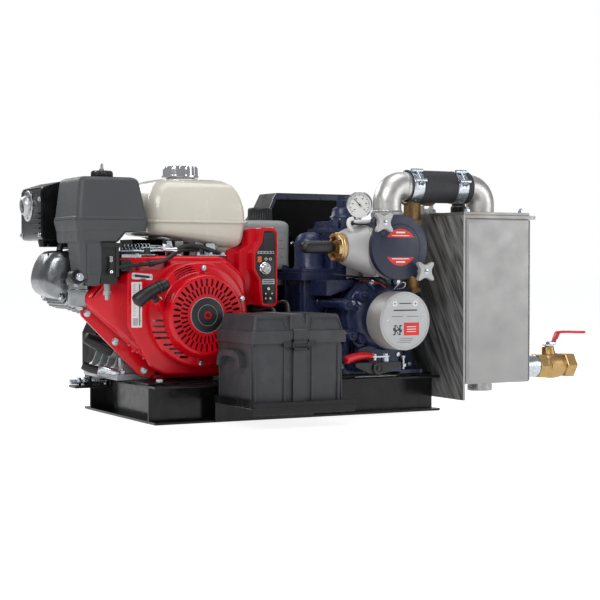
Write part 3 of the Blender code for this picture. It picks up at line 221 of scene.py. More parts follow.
M = {
    "black": surface("gloss_black_paint", (0.0045, 0.0045, 0.005), 0.2, vary=0.3, grain=0.05,
                     grain_size=0.003, dirt=((0.028, 0.027, 0.026), 0.3, 0.04), specular=0.32),
    "guard": surface("black_guard_paint", (0.0025, 0.0025, 0.003), 0.42, vary=0.3, grain=0.08,
                     grain_size=0.002, dirt=((0.006, 0.006, 0.006), 0.3, 0.05), specular=0.08),
    "red": surface("red_paint", (0.56, 0.001, 0.01), 0.24, vary=0.06, vary_size=0.1, rough_vary=0.05,
                   coat=0.12, grain=0.03, grain_size=0.003, specular=0.34),
    "navy": surface("navy_enamel", (0.016, 0.024, 0.072), 0.3, vary=0.25, vary_size=0.03, grain=0.55,
                    grain_size=0.0022, dirt=((0.05, 0.055, 0.07), 0.25, 0.02)),
    "navy_smooth": surface("navy_lid_enamel", (0.016, 0.021, 0.045), 0.4, vary=0.08, grain=0.12,
                           grain_size=0.0012),
    "cream": surface("cream_paint", (0.6, 0.575, 0.49), 0.24, vary=0.03, vary_size=0.12, coat=0.5,
                     grain=0.03, grain_size=0.004, dirt=((0.5, 0.47, 0.38), 0.2, 0.09)),
    "rocker": surface("die_cast_cover", (0.26, 0.27, 0.28), 0.24, 1.0, vary=0.2, vary_size=0.03, grain=0.25,
                      grain_size=0.002),
    "cast": surface("cast_aluminium", (0.46, 0.47, 0.48), 0.42, 1.0, vary=0.18, vary_size=0.02, grain=0.5,
                    grain_size=0.001, dirt=((0.16, 0.16, 0.16), 0.4, 0.02)),
    "silver": surface("silver_paint", (0.5, 0.51, 0.52), 0.34, 0.75, vary=0.1, vary_size=0.03, grain=0.18,
                      grain_size=0.0008),
    "pale": surface("pale_grey_paint", (0.44, 0.435, 0.43), 0.44, 0.35, vary=0.06, vary_size=0.05,
                    grain=0.12, grain_size=0.0008),
    "machined": surface("machined_steel", (0.5, 0.5, 0.51), 0.26, 1.0, vary=0.12, vary_size=0.01,
                        brushed="Y", grain=0.15),
    "stainless": surface("brushed_stainless", (0.335, 0.333, 0.33), 0.42, 1.0, vary=0.05, vary_size=0.1,
                         brushed="Z", grain=0.22),
    "pipe": surface("blasted_stainless", (0.6, 0.59, 0.575), 0.36, 0.9, vary=0.08, vary_size=0.02,
                    grain=0.25, grain_size=0.0007),
    "streaked": streaked_steel("streaked_stainless"),
    "zinc": surface("zinc_plate", (0.58, 0.63, 0.68), 0.24, 1.0, vary=0.16, vary_size=0.006, grain=0.08,
                    grain_size=0.001),
    "chrome": surface("chrome_plate", (0.78, 0.78, 0.8), 0.1, 1.0, vary=0.05, rough_vary=0.04),
    "brass": surface("forged_brass", (0.5, 0.335, 0.145), 0.42, 1.0, vary=0.16, vary_size=0.012, grain=0.28,
                     grain_size=0.0009, dirt=((0.22, 0.13, 0.05), 0.5, 0.012)),
    "bright_brass": surface("turned_brass", (0.6, 0.42, 0.2), 0.38, 1.0, vary=0.14, vary_size=0.01,
                            brushed="Y", grain=0.14),
    "bronze": surface("dull_bronze", (0.36, 0.235, 0.1), 0.45, 0.85, vary=0.2, vary_size=0.015, grain=0.3),
    "grey": surface("dark_grey_plastic", (0.05, 0.053, 0.058), 0.5, vary=0.06, vary_size=0.08, grain=0.32,
                    grain_size=0.0007),
    "battery_grey": surface("battery_box_plastic", (0.032, 0.033, 0.038), 0.52, vary=0.08, vary_size=0.06,
                            grain=0.3, grain_size=0.0008, dirt=((0.09, 0.09, 0.09), 0.25, 0.03)),
    "plastic": surface("black_plastic", (0.01, 0.01, 0.011), 0.4, vary=0.1, grain=0.2, grain_size=0.0007),
    "tank": surface("grey_tank_plastic", (0.3, 0.31, 0.315), 0.42, vary=0.05, vary_size=0.07, grain=0.12,
                    grain_size=0.0012),
    "rubber": surface("black_rubber", (0.026, 0.026, 0.03), 0.58, vary=0.15, vary_size=0.02, grain=0.35,
                      grain_size=0.001),
    "vinyl": surface("red_vinyl", (0.6, 0.008, 0.014), 0.32, vary=0.08, vary_size=0.01, grain=0.1,
                     grain_size=0.002),
    "strap": surface("woven_strap", (0.03, 0.031, 0.035), 0.75, vary=0.3, vary_size=0.0015, grain=0.6,
                     grain_size=0.0012, sheen=0.3),
    "white": surface("white_label", (0.72, 0.72, 0.7), 0.35, vary=0.03),
    # dark ink for printed marks; the same material also serves as painted shade in the exhaust outlet's mouth
    "ink": surface("dark_ink_and_hole_shade", (0.012, 0.012, 0.014), 0.45, vary=0.1),
    "label_red": surface("red_label", (0.62, 0.02, 0.016), 0.4, vary=0.05),
    "label_silver": surface("silver_label", (0.42, 0.43, 0.44), 0.34, 0.6, vary=0.05, brushed="X",
                            grain=0.06),
    "orange": surface("orange_button", (0.75, 0.1, 0.02), 0.35, vary=0.05),
    "paper": surface("filter_paper", (0.6, 0.54, 0.4), 0.9, vary=0.1, grain=0.3),
    "wire": surface("red_wire", (0.45, 0.02, 0.015), 0.4, vary=0.05),
}


# ---------------------------------------------------------------- modelling kit
def rounded(points, radius, steps=5):
    """A polygon's points with each corner rounded."""
    radii = radius if hasattr(radius, "__len__") else [radius] * len(points)
    out = []
    for i, (point, r) in enumerate(zip(points, radii)):
        here = Vector(point)
        before, after = Vector(points[i - 1]) - here, Vector(points[(i + 1) % len(points)]) - here
        half = before.angle(after, pi) / 2
        if r <= 0 or half > 1.55:
            out.append(tuple(here))
            continue
        reach = min(r / tan(half), before.length * 0.49, after.length * 0.49)
        first, last = here + before.normalized() * reach, here + after.normalized() * reach
        for k in range(steps + 1):
            t = k / steps
            out.append(tuple(first.lerp(here, t).lerp(here.lerp(last, t), t)))
    return out


def oblong(x0, x1, y0, y1, radius, steps=6):
    """A rectangle with true round corners, counter-clockwise."""
    out = []
    for cx, cy, start in ((x1 - radius, y1 - radius, 0), (x0 + radius, y1 - radius, 90),
                          (x0 + radius, y0 + radius, 180), (x1 - radius, y0 + radius, 270)):
        for k in range(steps + 1):
            a = radians(start + 90 * k / steps)
            out.append((cx + radius * cos(a), cy + radius * sin(a)))
    return out


def ring(radius, sides, start=0.0, centre=(0, 0)):
    return [(centre[0] + radius * cos(start + 2 * pi * k / sides), centre[1]
             + radius * sin(start + 2 * pi * k / sides)) for k in range(sides)]


def along(points, spacing):
    """Points of a smooth curve through the given ones, evenly spaced."""
    pts = [Vector(p) for p in points]
    pts = [2 * pts[0] - pts[1]] + pts + [2 * pts[-1] - pts[-2]]
    fine = []
    for i in range(1, len(pts) - 2):
        a, b, c, d = pts[i - 1:i + 3]
        for k in range(24):
            t = k / 24
            fine.append(0.5 * ((2 * b) + (c - a) * t + (2 * a - 5 * b + 4 * c - d) * t * t
                               + (3 * b - a - 3 * c + d) * t ** 3))
    fine.append(pts[-2])
    out, left = [fine[0]], spacing
    for p, q in zip(fine, fine[1:]):
        step = (q - p).length
        while step > left:
            p = p.lerp(q, left / step)
            out.append(p)
            step, left = (q - p).length, spacing
        left -= step
    if (out[-1] - fine[-1]).length > spacing * 0.3:
        out.append(fine[-1])
    else:
        out[-1] = fine[-1]
    return out


def facing(at, direction):
    """A turn of Z towards a direction, and a move to a place."""
    return Matrix.Translation(Vector(at)) @ Vector(direction).to_track_quat("Z", "Y").to_matrix().to_4x4()


def angles(count):
    return [2 * pi * k / count for k in range(count)]


def pillar(outline, heights):
    """Rings of one XY outline at several heights."""
    return [[(x, y, z) for x, y in outline] for z in heights]


def lobed(x, y, z, count, radius):
    """A ring whose radius is a function of the angle."""
    return [(x + radius(a) * cos(a), y + radius(a) * sin(a), z) for a in angles(count)]


class Solid:
    """Closed shapes gathered in one mesh. Each takes the material that use() named last."""

    def __init__(self, mat):
        self.bm = bmesh.new()
        self.mats = []
        self.use(mat)

    def use(self, mat):
        if mat not in self.mats:
            self.mats.append(mat)
        self.index = self.mats.index(mat)
        return self

    def put(self, points, faces, matrix=None):
        verts = [self.bm.verts.new(matrix @ Vector(p) if matrix else p) for p in points]
        for face in faces:
            made = self.bm.faces.new([verts[i] for i in face])
            made.material_index = self.index
        return self

    def loft(self, rings, matrix=None, closed=False):
        """Joins rings of equal length, and caps both ends unless the rings close on themselves."""
        n = len(rings[0])
        points = [p for r in rings for p in r]
        faces = []
        for k in range(len(rings) - (0 if closed else 1)):
            a, b = k * n, (k + 1) % len(rings) * n
            faces += [(a + i, a + (i + 1) % n, b + (i + 1) % n, b + i) for i in range(n)]
        if not closed:
            faces += [tuple(reversed(range(n))), tuple(range((len(rings) - 1) * n, len(rings) * n))]
        return self.put(points, faces, matrix)

    def box(self, low, high, matrix=None):
        (x0, y0, z0), (x1, y1, z1) = low, high
        base = [(x0, y0), (x1, y0), (x1, y1), (x0, y1)]
        return self.loft([[(x, y, z) for x, y in base] for z in (z0, z1)], matrix)

    def prism(self, outline, low, high, axis="Y"):
        """An outline drawn in XZ, YZ or XY, pushed along Y, X or Z."""
        place = {"Y": lambda u, v, w: (u, w, v),
                 "X": lambda u, v, w: (w, u, v),
                 "Z": lambda u, v, w: (u, v, w)}
        return self.loft([[place[axis](u, v, w) for u, v in outline] for w in (low, high)])

    def rod(self, start, end, radius, end_radius=None, sides=32):
        start, end = Vector(start), Vector(end)
        turn = facing(start, end - start)
        length = (end - start).length
        end_radius = radius if end_radius is None else end_radius
        return self.loft([[(x, y, 0) for x, y in ring(radius, sides)],
                          [(x, y, length) for x, y in ring(end_radius, sides)]], turn)

    def turned(self, profile, base, direction, sides=48):
        """(radius, height) points turned about an axis. It closes on the axis, or on itself as a ring."""
        turn = facing(base, direction)
        solid = profile[0][0] <= 1e-6 and profile[-1][0] <= 1e-6
        inner = profile[1:-1] if solid else profile
        rings = [[(x, y, h) for x, y in ring(r, sides)] for r, h in inner]
        if not solid:
            return self.loft(rings, turn, closed=True)
        n = sides
        points = [p for r in rings for p in r] + [(0, 0, profile[0][1]), (0, 0, profile[-1][1])]
        faces = []
        for k in range(len(rings) - 1):
            a, b = k * n, (k + 1) * n
            faces += [(a + i, a + (i + 1) % n, b + (i + 1) % n, b + i) for i in range(n)]
        top, end = len(points) - 2, len(points) - 1
        last = (len(rings) - 1) * n
        faces += [(top, (i + 1) % n, i) for i in range(n)]
        faces += [(end, last + i, last + (i + 1) % n) for i in range(n)]
        return self.put(points, faces, turn)

    def disc(self, radius, height, base, direction, sides=48):
        return self.hoop(0, radius, 0, height, base, direction, sides)

    def cap(self, radius, side, top_radius, height, base, direction, sides=48):
        """A disc with a chamfered rim."""
        profile = [(0, 0), (radius, 0), (radius, side), (top_radius, height), (0, height)]
        return self.turned(profile, base, direction, sides)

    def hoop(self, inner, outer, low, high, base, direction, sides=48):
        profile = [(inner, low), (outer, low), (outer, high), (inner, high)]
        return self.turned(profile, base, direction, sides)

    def slab(self, low, high, radius, start, end, axis="Y"):
        """A rectangle with rounded corners, pushed along an axis."""
        (u0, v0), (u1, v1) = low, high
        return self.prism(rounded([(u0, v0), (u1, v0), (u1, v1), (u0, v1)], radius), start, end, axis)

    def tube(self, points, radius, sides=16, closed=False):
        """A round bar along points; radius is one number, or one for each point."""
        pts = [Vector(p) for p in points]
        radii = radius if hasattr(radius, "__len__") else [radius] * len(pts)
        rings, side = [], None
        for i, p in enumerate(pts):
            if closed:
                way = (pts[(i + 1) % len(pts)] - pts[i - 1]).normalized()
            else:
                way = (pts[min(i + 1, len(pts) - 1)] - pts[max(i - 1, 0)]).normalized()
            if side is None:
                side = way.orthogonal().normalized()
            side = (side - way * side.dot(way)).normalized()
            up = way.cross(side)
            rings.append([p + side * x + up * y for x, y in ring(radii[i], sides)])
        return self.loft(rings, closed=closed)

    def strip(self, points, across, width, thick):
        """A flat bar along points, with its width along one fixed direction."""
        pts, across = [Vector(p) for p in points], Vector(across).normalized()
        rings = []
        for i, p in enumerate(pts):
            way = (pts[min(i + 1, len(pts) - 1)] - pts[max(i - 1, 0)]).normalized()
            up = way.cross(across).normalized()
            w, t = across * width / 2, up * thick / 2
            rings.append([p - w - t, p + w - t, p + w + t, p - w + t])
        return self.loft(rings)

    def bolt(self, at, direction, across=0.01, height=0.006, washer=True, stud=0.0):
        """A hexagon head, its washer, and a stud standing out of it."""
        at, way = Vector(at), Vector(direction).normalized()
        r = across / 2
        if washer:
            self.disc(r * 1.35, height * 0.18, at, way, 24)
        k = r / cos(pi / 6)
        self.cap(k, height * 0.86, k * 0.86, height, at, way, 6)
        if stud:
            self.turned([(0, 0), (r * 0.52, 0), (r * 0.52, height + stud - 0.001), (r * 0.4, height + stud),
                         (0, height + stud)], at, way, 16)
        return self

    def ball(self, at, radius, squash=1.0, direction=UP, sides=32):
        steps = 10
        profile = [(radius * sin(pi * k / steps), radius * squash * cos(pi * k / steps))
                   for k in range(steps + 1)]
        profile[0], profile[-1] = (0, profile[0][1]), (0, profile[-1][1])
        return self.turned(profile[::-1], at, direction, sides)

    def panel(self, outlines, low, high, axis="Y"):
        """A flat plate with holes: the first outline is its edge."""
        curve = bpy.data.curves.new("panel", "CURVE")
        curve.dimensions, curve.fill_mode, curve.extrude = "2D", "BOTH", (high - low) / 2
        for outline in outlines:
            spline = curve.splines.new("POLY")
            spline.points.add(len(outline) - 1)
            for point, (u, v) in zip(spline.points, outline):
                point.co = (u, v, 0, 1.0)
            spline.use_cyclic_u = True
        obj = bpy.data.objects.new("panel", curve)
        middle = (low + high) / 2
        turn = {"Y": Matrix(((1, 0, 0, 0), (0, 0, -1, middle), (0, 1, 0, 0), (0, 0, 0, 1))),
                "X": Matrix(((0, 0, 1, middle), (1, 0, 0, 0), (0, 1, 0, 0), (0, 0, 0, 1))),
                "Z": Matrix.Translation((0, 0, middle))}[axis]
        mesh = bpy.data.meshes.new_from_object(obj)
        mesh.transform(turn)
        known = set(self.bm.faces)
        self.bm.from_mesh(mesh)
        for face in self.bm.faces:
            if face not in known:
                face.material_index = self.index
        bpy.data.objects.remove(obj)
        bpy.data.meshes.remove(mesh)
        return self

    def mesh(self, name):
        bmesh.ops.remove_doubles(self.bm, verts=self.bm.verts, dist=1e-7)
        bmesh.ops.recalc_face_normals(self.bm, faces=self.bm.faces)
        mesh = bpy.data.meshes.new(name)
        self.bm.to_mesh(mesh)
        self.bm.free()
        for key in self.mats:
            mesh.materials.append(M[key])
        return mesh

    def piece(self, name, body="skid", stands_for=(), slot=None, bevel=0.0, angle=32, cuts=None):
        """Makes the piece, rounds its sharp edges, and hangs it on its body."""
        obj = bpy.data.objects.new(name, self.mesh(name))
        scene.collection.objects.link(obj)
        if cuts is not None:
            tool = bpy.data.objects.new(name + "_cut", cuts.mesh(name + "_cut"))
            scene.collection.objects.link(tool)
            mod = obj.modifiers.new("cut", "BOOLEAN")
            mod.operation, mod.solver, mod.object = "DIFFERENCE", "EXACT", tool
            mod.use_self = True
            bpy.context.view_layer.update()
            shape = obj.evaluated_get(bpy.context.evaluated_depsgraph_get())
            baked = bpy.data.meshes.new_from_object(shape)
            obj.modifiers.clear()
            obj.data = baked
            bpy.data.objects.remove(tool)
        soften(obj, bevel, angle)
        if stands_for:
            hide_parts(*stands_for)
        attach(obj, body)
        return obj


def round_edges(obj, bevel, angle):
    mod = obj.modifiers.new("edges", "BEVEL")
    mod.width, mod.segments = bevel, 2
    mod.limit_method, mod.angle_limit = "ANGLE", radians(angle)
    mod.harden_normals = True
    return mod


def soften(obj, bevel, angle):
    """Rounds the sharp edges and shades the rest smooth."""
    obj.data.shade_smooth()
    obj.data.set_sharp_from_angle(angle=radians(angle))
    if bevel:
        round_edges(obj, bevel, angle).miter_outer = "MITER_ARC"


def dress(node, key, bevel):
    """Gives a CAD node that stays its finish, and rounds its edges."""
    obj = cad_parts[node]
    obj.data.materials.clear()
    obj.data.materials.append(M[key])
    for polygon in obj.data.polygons:
        polygon.material_index = 0
    if bevel:
        weld = obj.modifiers.new("weld", "WELD")
        weld.merge_threshold = 1e-5
        round_edges(obj, bevel, 35)


make_stage()

for key, bevel, names in (
        ("black", 0.0012, "front_rail rear_rail left_cross_member centre_cross_member"),
        ("black", 0.0008, "deck_plate battery_tray"),
        ("guard", 0.0008, "belt_guard"),
        ("cast", 0.0015, "crankcase"),
        ("cast", 0.0008, "cylinder_head carburettor"),
        ("silver", 0, "rocker_cover upper_star_knob lower_star_knob"),
        ("red", 0.0012, "fan_shroud"),
        ("red", 0, "recoil_housing control_box"),
        ("black", 0, "muffler"),
        ("grey", 0, "air_cleaner_base air_cleaner_cover"),
        ("cream", 0, "fuel_tank"),
        ("black", 0.001, "starter_motor"),
        ("tank", 0, "oil_tank"),
        ("battery_grey", 0, "battery_case battery_lid"),
        ("plastic", 0.002, "battery"),
        ("navy", 0.0015, "pump_body"),
        ("navy", 0.0012, "pump_end_cover pump_manifold"),
        ("pale", 0.001, "oil_canister"),
        ("silver", 0.0015, "filter_housing"),
        ("navy_smooth", 0.001, "filter_lid"),
        ("paper", 0, "filter_element"),
        ("chrome", 0, "gauge_case fuel_cap valve_ball key_switch"),
        ("pipe", 0, "inlet_elbow"),
        ("rubber", 0.0005, "suction_hose"),
        ("bronze", 0.001, "brass_tee"),
        ("bright_brass", 0, "relief_valve_body"),
        ("stainless", 0.0008, "trap_box"),
        ("stainless", 0.0006, "trap_lid"),
        ("brass", 0.0006, "ball_valve_body"),
        ("rubber", 0, "v_belt"),
        ("machined", 0, "crankshaft rotor throttle_lever"),
        ("cast", 0.0006, "flywheel"),
        ("cast", 0, "engine_pulley pump_pulley"),
        ("plastic", 0, "recoil_grip recoil_reel wing_knob choke_lever oil_dipstick oil_tank_cap relief_knob"),
        ("vinyl", 0, "ball_valve_lever four_way_lever"),
        ("ink", 0, "gauge_needle")):
    for name in names.split():
        dress(name, key, bevel)


# ---------------------------------------------------------------- engine: air cleaner
def stack(sections, radius, steps=6):
    """Rings of round-cornered rectangles: (z, x0, x1, y0, y1) each."""
    return [[(x, y, z) for x, y in oblong(x0, x1, y0, y1, radius, steps)] for z, x0, x1, y0, y1 in sections]


def inset(z, base, amount):
    x0, x1, y0, y1 = base
    return (z, x0 + amount, x1 - amount, y0 + amount, y1 - amount)


def make_air_cleaner():
    seam, top, edge = 0.4018, 0.486, 0.011
    stud = (-0.395, -0.083)

    def hood(z, grow=0.0):
        """The hood's four sides at a height: all lean in, the right one the most."""
        t = (z - seam) / (top - seam)
        return (z, -0.473 + 0.009 * t + grow, -0.322 - 0.017 * t - grow, -0.154 + 0.007 * t + grow,
                -0.009 - 0.007 * t - grow)

    rings = [hood(seam), hood(seam + 0.005), hood(seam + 0.0065, 0.0012), hood(top - edge, 0.0012)]
    for k in range(1, 6):
        a = radians(18 * k)
        rings.append(hood(top - edge + edge * sin(a), 0.0012 + edge * (1 - cos(a))))
    inner = stack([hood(seam, 0.003), hood(top - edge, 0.004), hood(0.482, 0.012)], 0.009)
    cover = Solid("grey").loft(stack(rings, 0.012)[::-1] + inner)
    for k in range(3):                                   # moulded ribs on the back face
        x = -0.425 + 0.03 * k
        cover.box((x, -0.0145, 0.412), (x + 0.004, -0.0108, 0.462))
    cover.piece("air_cleaner_hood", "air_cleaner_cover", ["air_cleaner_cover"], "grey_plastic", 0.0008)

    base = Solid("grey")
    rim = (-0.474, -0.321, -0.155, -0.008)
    base.loft(stack([inset(0.3795, rim, 0.0045), inset(0.4, rim, 0.0005), inset(0.4014, rim, 0.0005)], 0.012))
    left = (-0.469, -0.384, -0.151, -0.012)
    block = [inset(0.3565, left, 0.0035), inset(0.36, left, 0.001), inset(0.381, left, -0.0002)]
    rings = stack(block, 0.012)
    for i, points in enumerate(rings):                   # the slanted right end
        lean = (0, 0.003, 0.02)[i]
        rings[i] = [(x + (lean if x > -0.42 else 0), y, z) for x, y, z in points]
    base.loft(rings)
    duct = [(0.2865, -0.4575, -0.43, -0.1465, -0.085), (0.29, -0.46, -0.4275, -0.1495, -0.079),
            (0.33, -0.4625, -0.423, -0.1505, -0.07), (0.36, -0.464, -0.418, -0.151, -0.064)]
    base.loft(stack(duct, 0.01))
    tongue = rounded([(-0.4475, 0.2725), (-0.427, 0.2725), (-0.4225, 0.305), (-0.4225, 0.356),
                      (-0.452, 0.356), (-0.452, 0.3)], [0.006, 0.006, 0.004, 0, 0, 0.004])
    base.prism(tongue, -0.1525, -0.13)
    base.box((-0.444, -0.1532, 0.295), (-0.429, -0.1524, 0.325))
    for k, z in enumerate((0.3, 0.3095, 0.319)):         # plain raised marks in place of the choke sign
        base.rod((-0.4365, -0.1526, z), (-0.4365, -0.1538, z), 0.0024 - 0.0005 * k, sides=12)
    base.use("plastic").box((-0.423, -0.148, 0.276), (-0.388, -0.135, 0.3565))
    base.slab((-0.423, 0.348), (-0.38, 0.3565), 0.002, -0.1545, -0.134)
    base.box((-0.392, -0.15, 0.29), (-0.385, -0.134, 0.352))
    base.use("machined").rod((*stud, 0.4), (*stud, 0.513), 0.003, sides=16)
    base.rod((*stud, 0.513), (*stud, 0.515), 0.003, 0.0018, sides=16)
    for k in range(8):                                   # thread on the stud
        z = 0.5025 + 0.0014 * k
        base.turned([(0, 0), (0.0034, 0.0004), (0, 0.0008)], (*stud, z), UP, 14)
    base.use("zinc")
    for at in ((-0.462, -0.144, 0.29), (-0.417, -0.133, 0.2835)):
        base.rod((at[0], at[1] + 0.012, at[2]), at, 0.0078, sides=20)
        base.bolt(at, FRONT, 0.01, 0.0045)
    base.use("plastic").rod((-0.462, -0.128, 0.29), (-0.462, -0.104, 0.29), 0.014, sides=24)
    base.piece("air_cleaner_body", "skid", ["air_cleaner_base"], "grey_plastic", 0.0007)

    knob = Solid("plastic")
    lobes = []
    for z, scale in ((0.487, 0.92), (0.489, 1.0), (0.496, 1.0), (0.499, 0.94), (0.5005, 0.8)):
        lobes.append(lobed(*stud, z, 96, lambda a: scale * (0.0215 + 0.0018 * cos(8 * a))))
    knob.loft(lobes)
    knob.turned([(0.0175, 0.4866), (0.0175, 0.4885), (0.0038, 0.4885), (0.0038, 0.4866)], (*stud, 0), UP, 40)
    knob.use("machined").bolt((*stud, 0.5004), UP, 0.01, 0.005)
    knob.piece("hood_wing_knob", "wing_knob", ["wing_knob"], "black_plastic", 0.0006, angle=40)


def make_carburettor():
    carb = Solid("rocker")
    at = Vector((-0.447, -0.098, 0))
    carb.turned([(0, 0.23), (0.016, 0.2305), (0.0215, 0.2335), (0.0235, 0.238), (0.024, 0.26),
                 (0.0258, 0.261), (0.0258, 0.265), (0.023, 0.266), (0.023, 0.2775), (0, 0.2775)], at, UP, 48)
    carb.use("zinc").bolt((at.x, at.y, 0.2305), DOWN, 0.012, 0.006)
    carb.use("brass").rod((at.x + 0.01, at.y - 0.019, 0.238), (at.x + 0.011, at.y - 0.0255, 0.236), 0.0035,
                          sides=14)
    carb.use("cast").box((-0.4665, -0.122, 0.277), (-0.409, -0.07, 0.2855))
    carb.box((-0.4285, -0.122, 0.2845), (-0.4095, -0.0625, 0.33))
    for x, y in ((-0.461, -0.116), (-0.461, -0.076), (-0.415, -0.116)):
        carb.rod((x, y, 0.274), (x, y, 0.2875), 0.0052, sides=18)
    carb.use("zinc").bolt((-0.461, -0.116, 0.2738), DOWN, 0.008, 0.003)
    cup = Vector((-0.403, -0.124, 0))                    # fuel sediment cup
    carb.use("cast").turned([(0, 0.262), (0.0105, 0.262), (0.0105, 0.274), (0.0125, 0.276), (0.0125, 0.284),
                             (0, 0.284)], cup, UP, 32)
    carb.use("silver").turned([(0, 0.242), (0.006, 0.242), (0.0092, 0.245), (0.0096, 0.253),
                               (0.0116, 0.2545), (0.0116, 0.2622), (0, 0.2622)], cup, UP, 32)
    carb.use("plastic").tube(along([(-0.403, -0.124, 0.283), (-0.4, -0.118, 0.3), (-0.385, -0.105, 0.318),
                                    (-0.36, -0.085, 0.336), (-0.33, -0.07, 0.345)], 0.006), 0.0042, 12)
    carb.piece("carburettor_detail", "skid", ["carburettor"], "cast_aluminium", 0.0006)

    choke = Solid("plastic").rod((-0.404, -0.1505, 0.3), (-0.404, -0.1575, 0.3), 0.0065, sides=24)
    choke.prism(rounded([(-0.4085, 0.297), (-0.3995, 0.297), (-0.4012, 0.322), (-0.4068, 0.322)], 0.0025),
                -0.157, -0.1535)
    choke.use("chrome").slab((-0.407, 0.319), (-0.401, 0.33), 0.0022, -0.1576, -0.153)
    choke.bolt((-0.404, -0.1572, 0.3), FRONT, 0.006, 0.0018, washer=False)
    choke.piece("choke_handle", "choke_lever", ["choke_lever"], "black_plastic", 0.0006)

    lever = Solid("machined").rod((-0.33, -0.1, 0.3326), (-0.33, -0.1, 0.3405), 0.0072, sides=28)
    lever.prism(rounded([(-0.3355, -0.094), (-0.3245, -0.094), (-0.3255, -0.13), (-0.3262, -0.1635),
                         (-0.3338, -0.1635), (-0.3345, -0.13)], [0.004, 0.004, 0.01, 0.0035, 0.0035, 0.01]),
                0.3365, 0.3392, "Z")
    lever.use("plastic").turned([(0, 0), (0.0052, 0), (0.0062, 0.002), (0.0062, 0.012), (0.005, 0.014),
                                 (0, 0.014)], (-0.33, -0.16, 0.3335), UP, 24)
    lever.use("zinc").bolt((-0.33, -0.1, 0.3404), UP, 0.007, 0.003)
    lever.piece("throttle_handle", "throttle_lever", ["throttle_lever"], "steel", 0.0005)


# ---------------------------------------------------------------- engine: tank and muffler
def make_tank():
    """Two pressings that meet at a seam; the underside steps up at its left end."""
    plan = (-0.2985, -0.0815, -0.102, 0.0955)
    radii = (0.024, 0.034, 0.03, 0.014)                  # back right, back left, front left, front right

    def section(z, amount):
        x0, x1, y0, y1 = (plan[0] + amount, plan[1] - amount, plan[2] + amount, plan[3] - amount)
        shrink_by = min(amount, 0.01) * 0.3
        points = []
        for (x, y), r, start in zip(((x1, y1), (x0, y1), (x0, y0), (x1, y0)), radii, (0, 90, 180, 270)):
            r = r - shrink_by
            cx = x - r if start in (0, 270) else x + r
            cy = y - r if start in (0, 90) else y + r
            for k in range(9):
                a = radians(start + 90 * k / 8)
                points.append((cx + r * cos(a), cy + r * sin(a), z))
        return points

    lower = [(0.3475, 0.036), (0.348, 0.026), (0.35, 0.0175), (0.354, 0.0115), (0.36, 0.008), (0.37, 0.0055),
             (0.385, 0.0035), (0.3985, 0.0025)]
    flange = [(0.3988, -0.001), (0.4, -0.002), (0.4036, -0.002), (0.4046, -0.001)]
    upper = [(0.405, 0.002), (0.42, 0.0026), (0.434, 0.0042), (0.446, 0.0068), (0.456, 0.0098),
             (0.466, 0.0138), (0.474, 0.0184), (0.48, 0.0236), (0.485, 0.0306), (0.4885, 0.04),
             (0.4905, 0.052), (0.4912, 0.066)]
    lifted = []
    for points in [section(*s) for s in lower + flange + upper]:
        row = []
        for x, y, z in points:
            share = min(1.0, max(0, (-0.205 - x) / 0.046))
            share = share * share * (3 - 2 * share)
            row.append((x, y, z + 0.025 * share * max(0, 1 - (z - 0.3475) / 0.05)))
        lifted.append(row)
    tank = Solid("cream").loft(lifted)
    tank.turned([(0, 0), (0.034, 0), (0.026, 0.008), (0.016, 0.015), (0.01, 0.018), (0, 0.018)],
                (-0.126, -0.052, 0.3495), DOWN, 40)
    neck = Vector((-0.196, -0.016, 0.488))
    tank.turned([(0, 0), (0.042, 0), (0.041, 0.0025), (0.036, 0.0042), (0.03, 0.0046), (0.03, 0.0095),
                 (0, 0.0095)], neck, UP, 48)
    tank.use("zinc")
    for x, y in ((-0.2935, -0.06), (-0.2935, 0.055), (-0.0905, -0.06), (-0.0905, 0.055)):
        tank.bolt((x, y, 0.3988), DOWN, 0.009, 0.005)
    tank.piece("fuel_tank_shell", "skid", ["fuel_tank"], "cream_paint", 0, angle=50)

    cap = Solid("chrome")
    lobes = []
    for z, scale in ((0.4945, 0.97), (0.4955, 1.0), (0.4985, 1.0), (0.499, 0.96), (0.5, 0.955),
                     (0.512, 0.945), (0.516, 0.92), (0.5182, 0.86), (0.5188, 0.74)):
        depth = 0.0026 if 0.4988 < z < 0.5165 else 0.0
        lobes.append(lobed(neck.x, neck.y, z, 168, lambda a: 0.0396 * scale
                           - depth * (0.5 + 0.5 * cos(14 * a)) ** 0.6))
    cap.loft(lobes)
    cap.piece("fuel_tank_cap", "fuel_cap", ["fuel_cap"], "chrome", 0, angle=38)


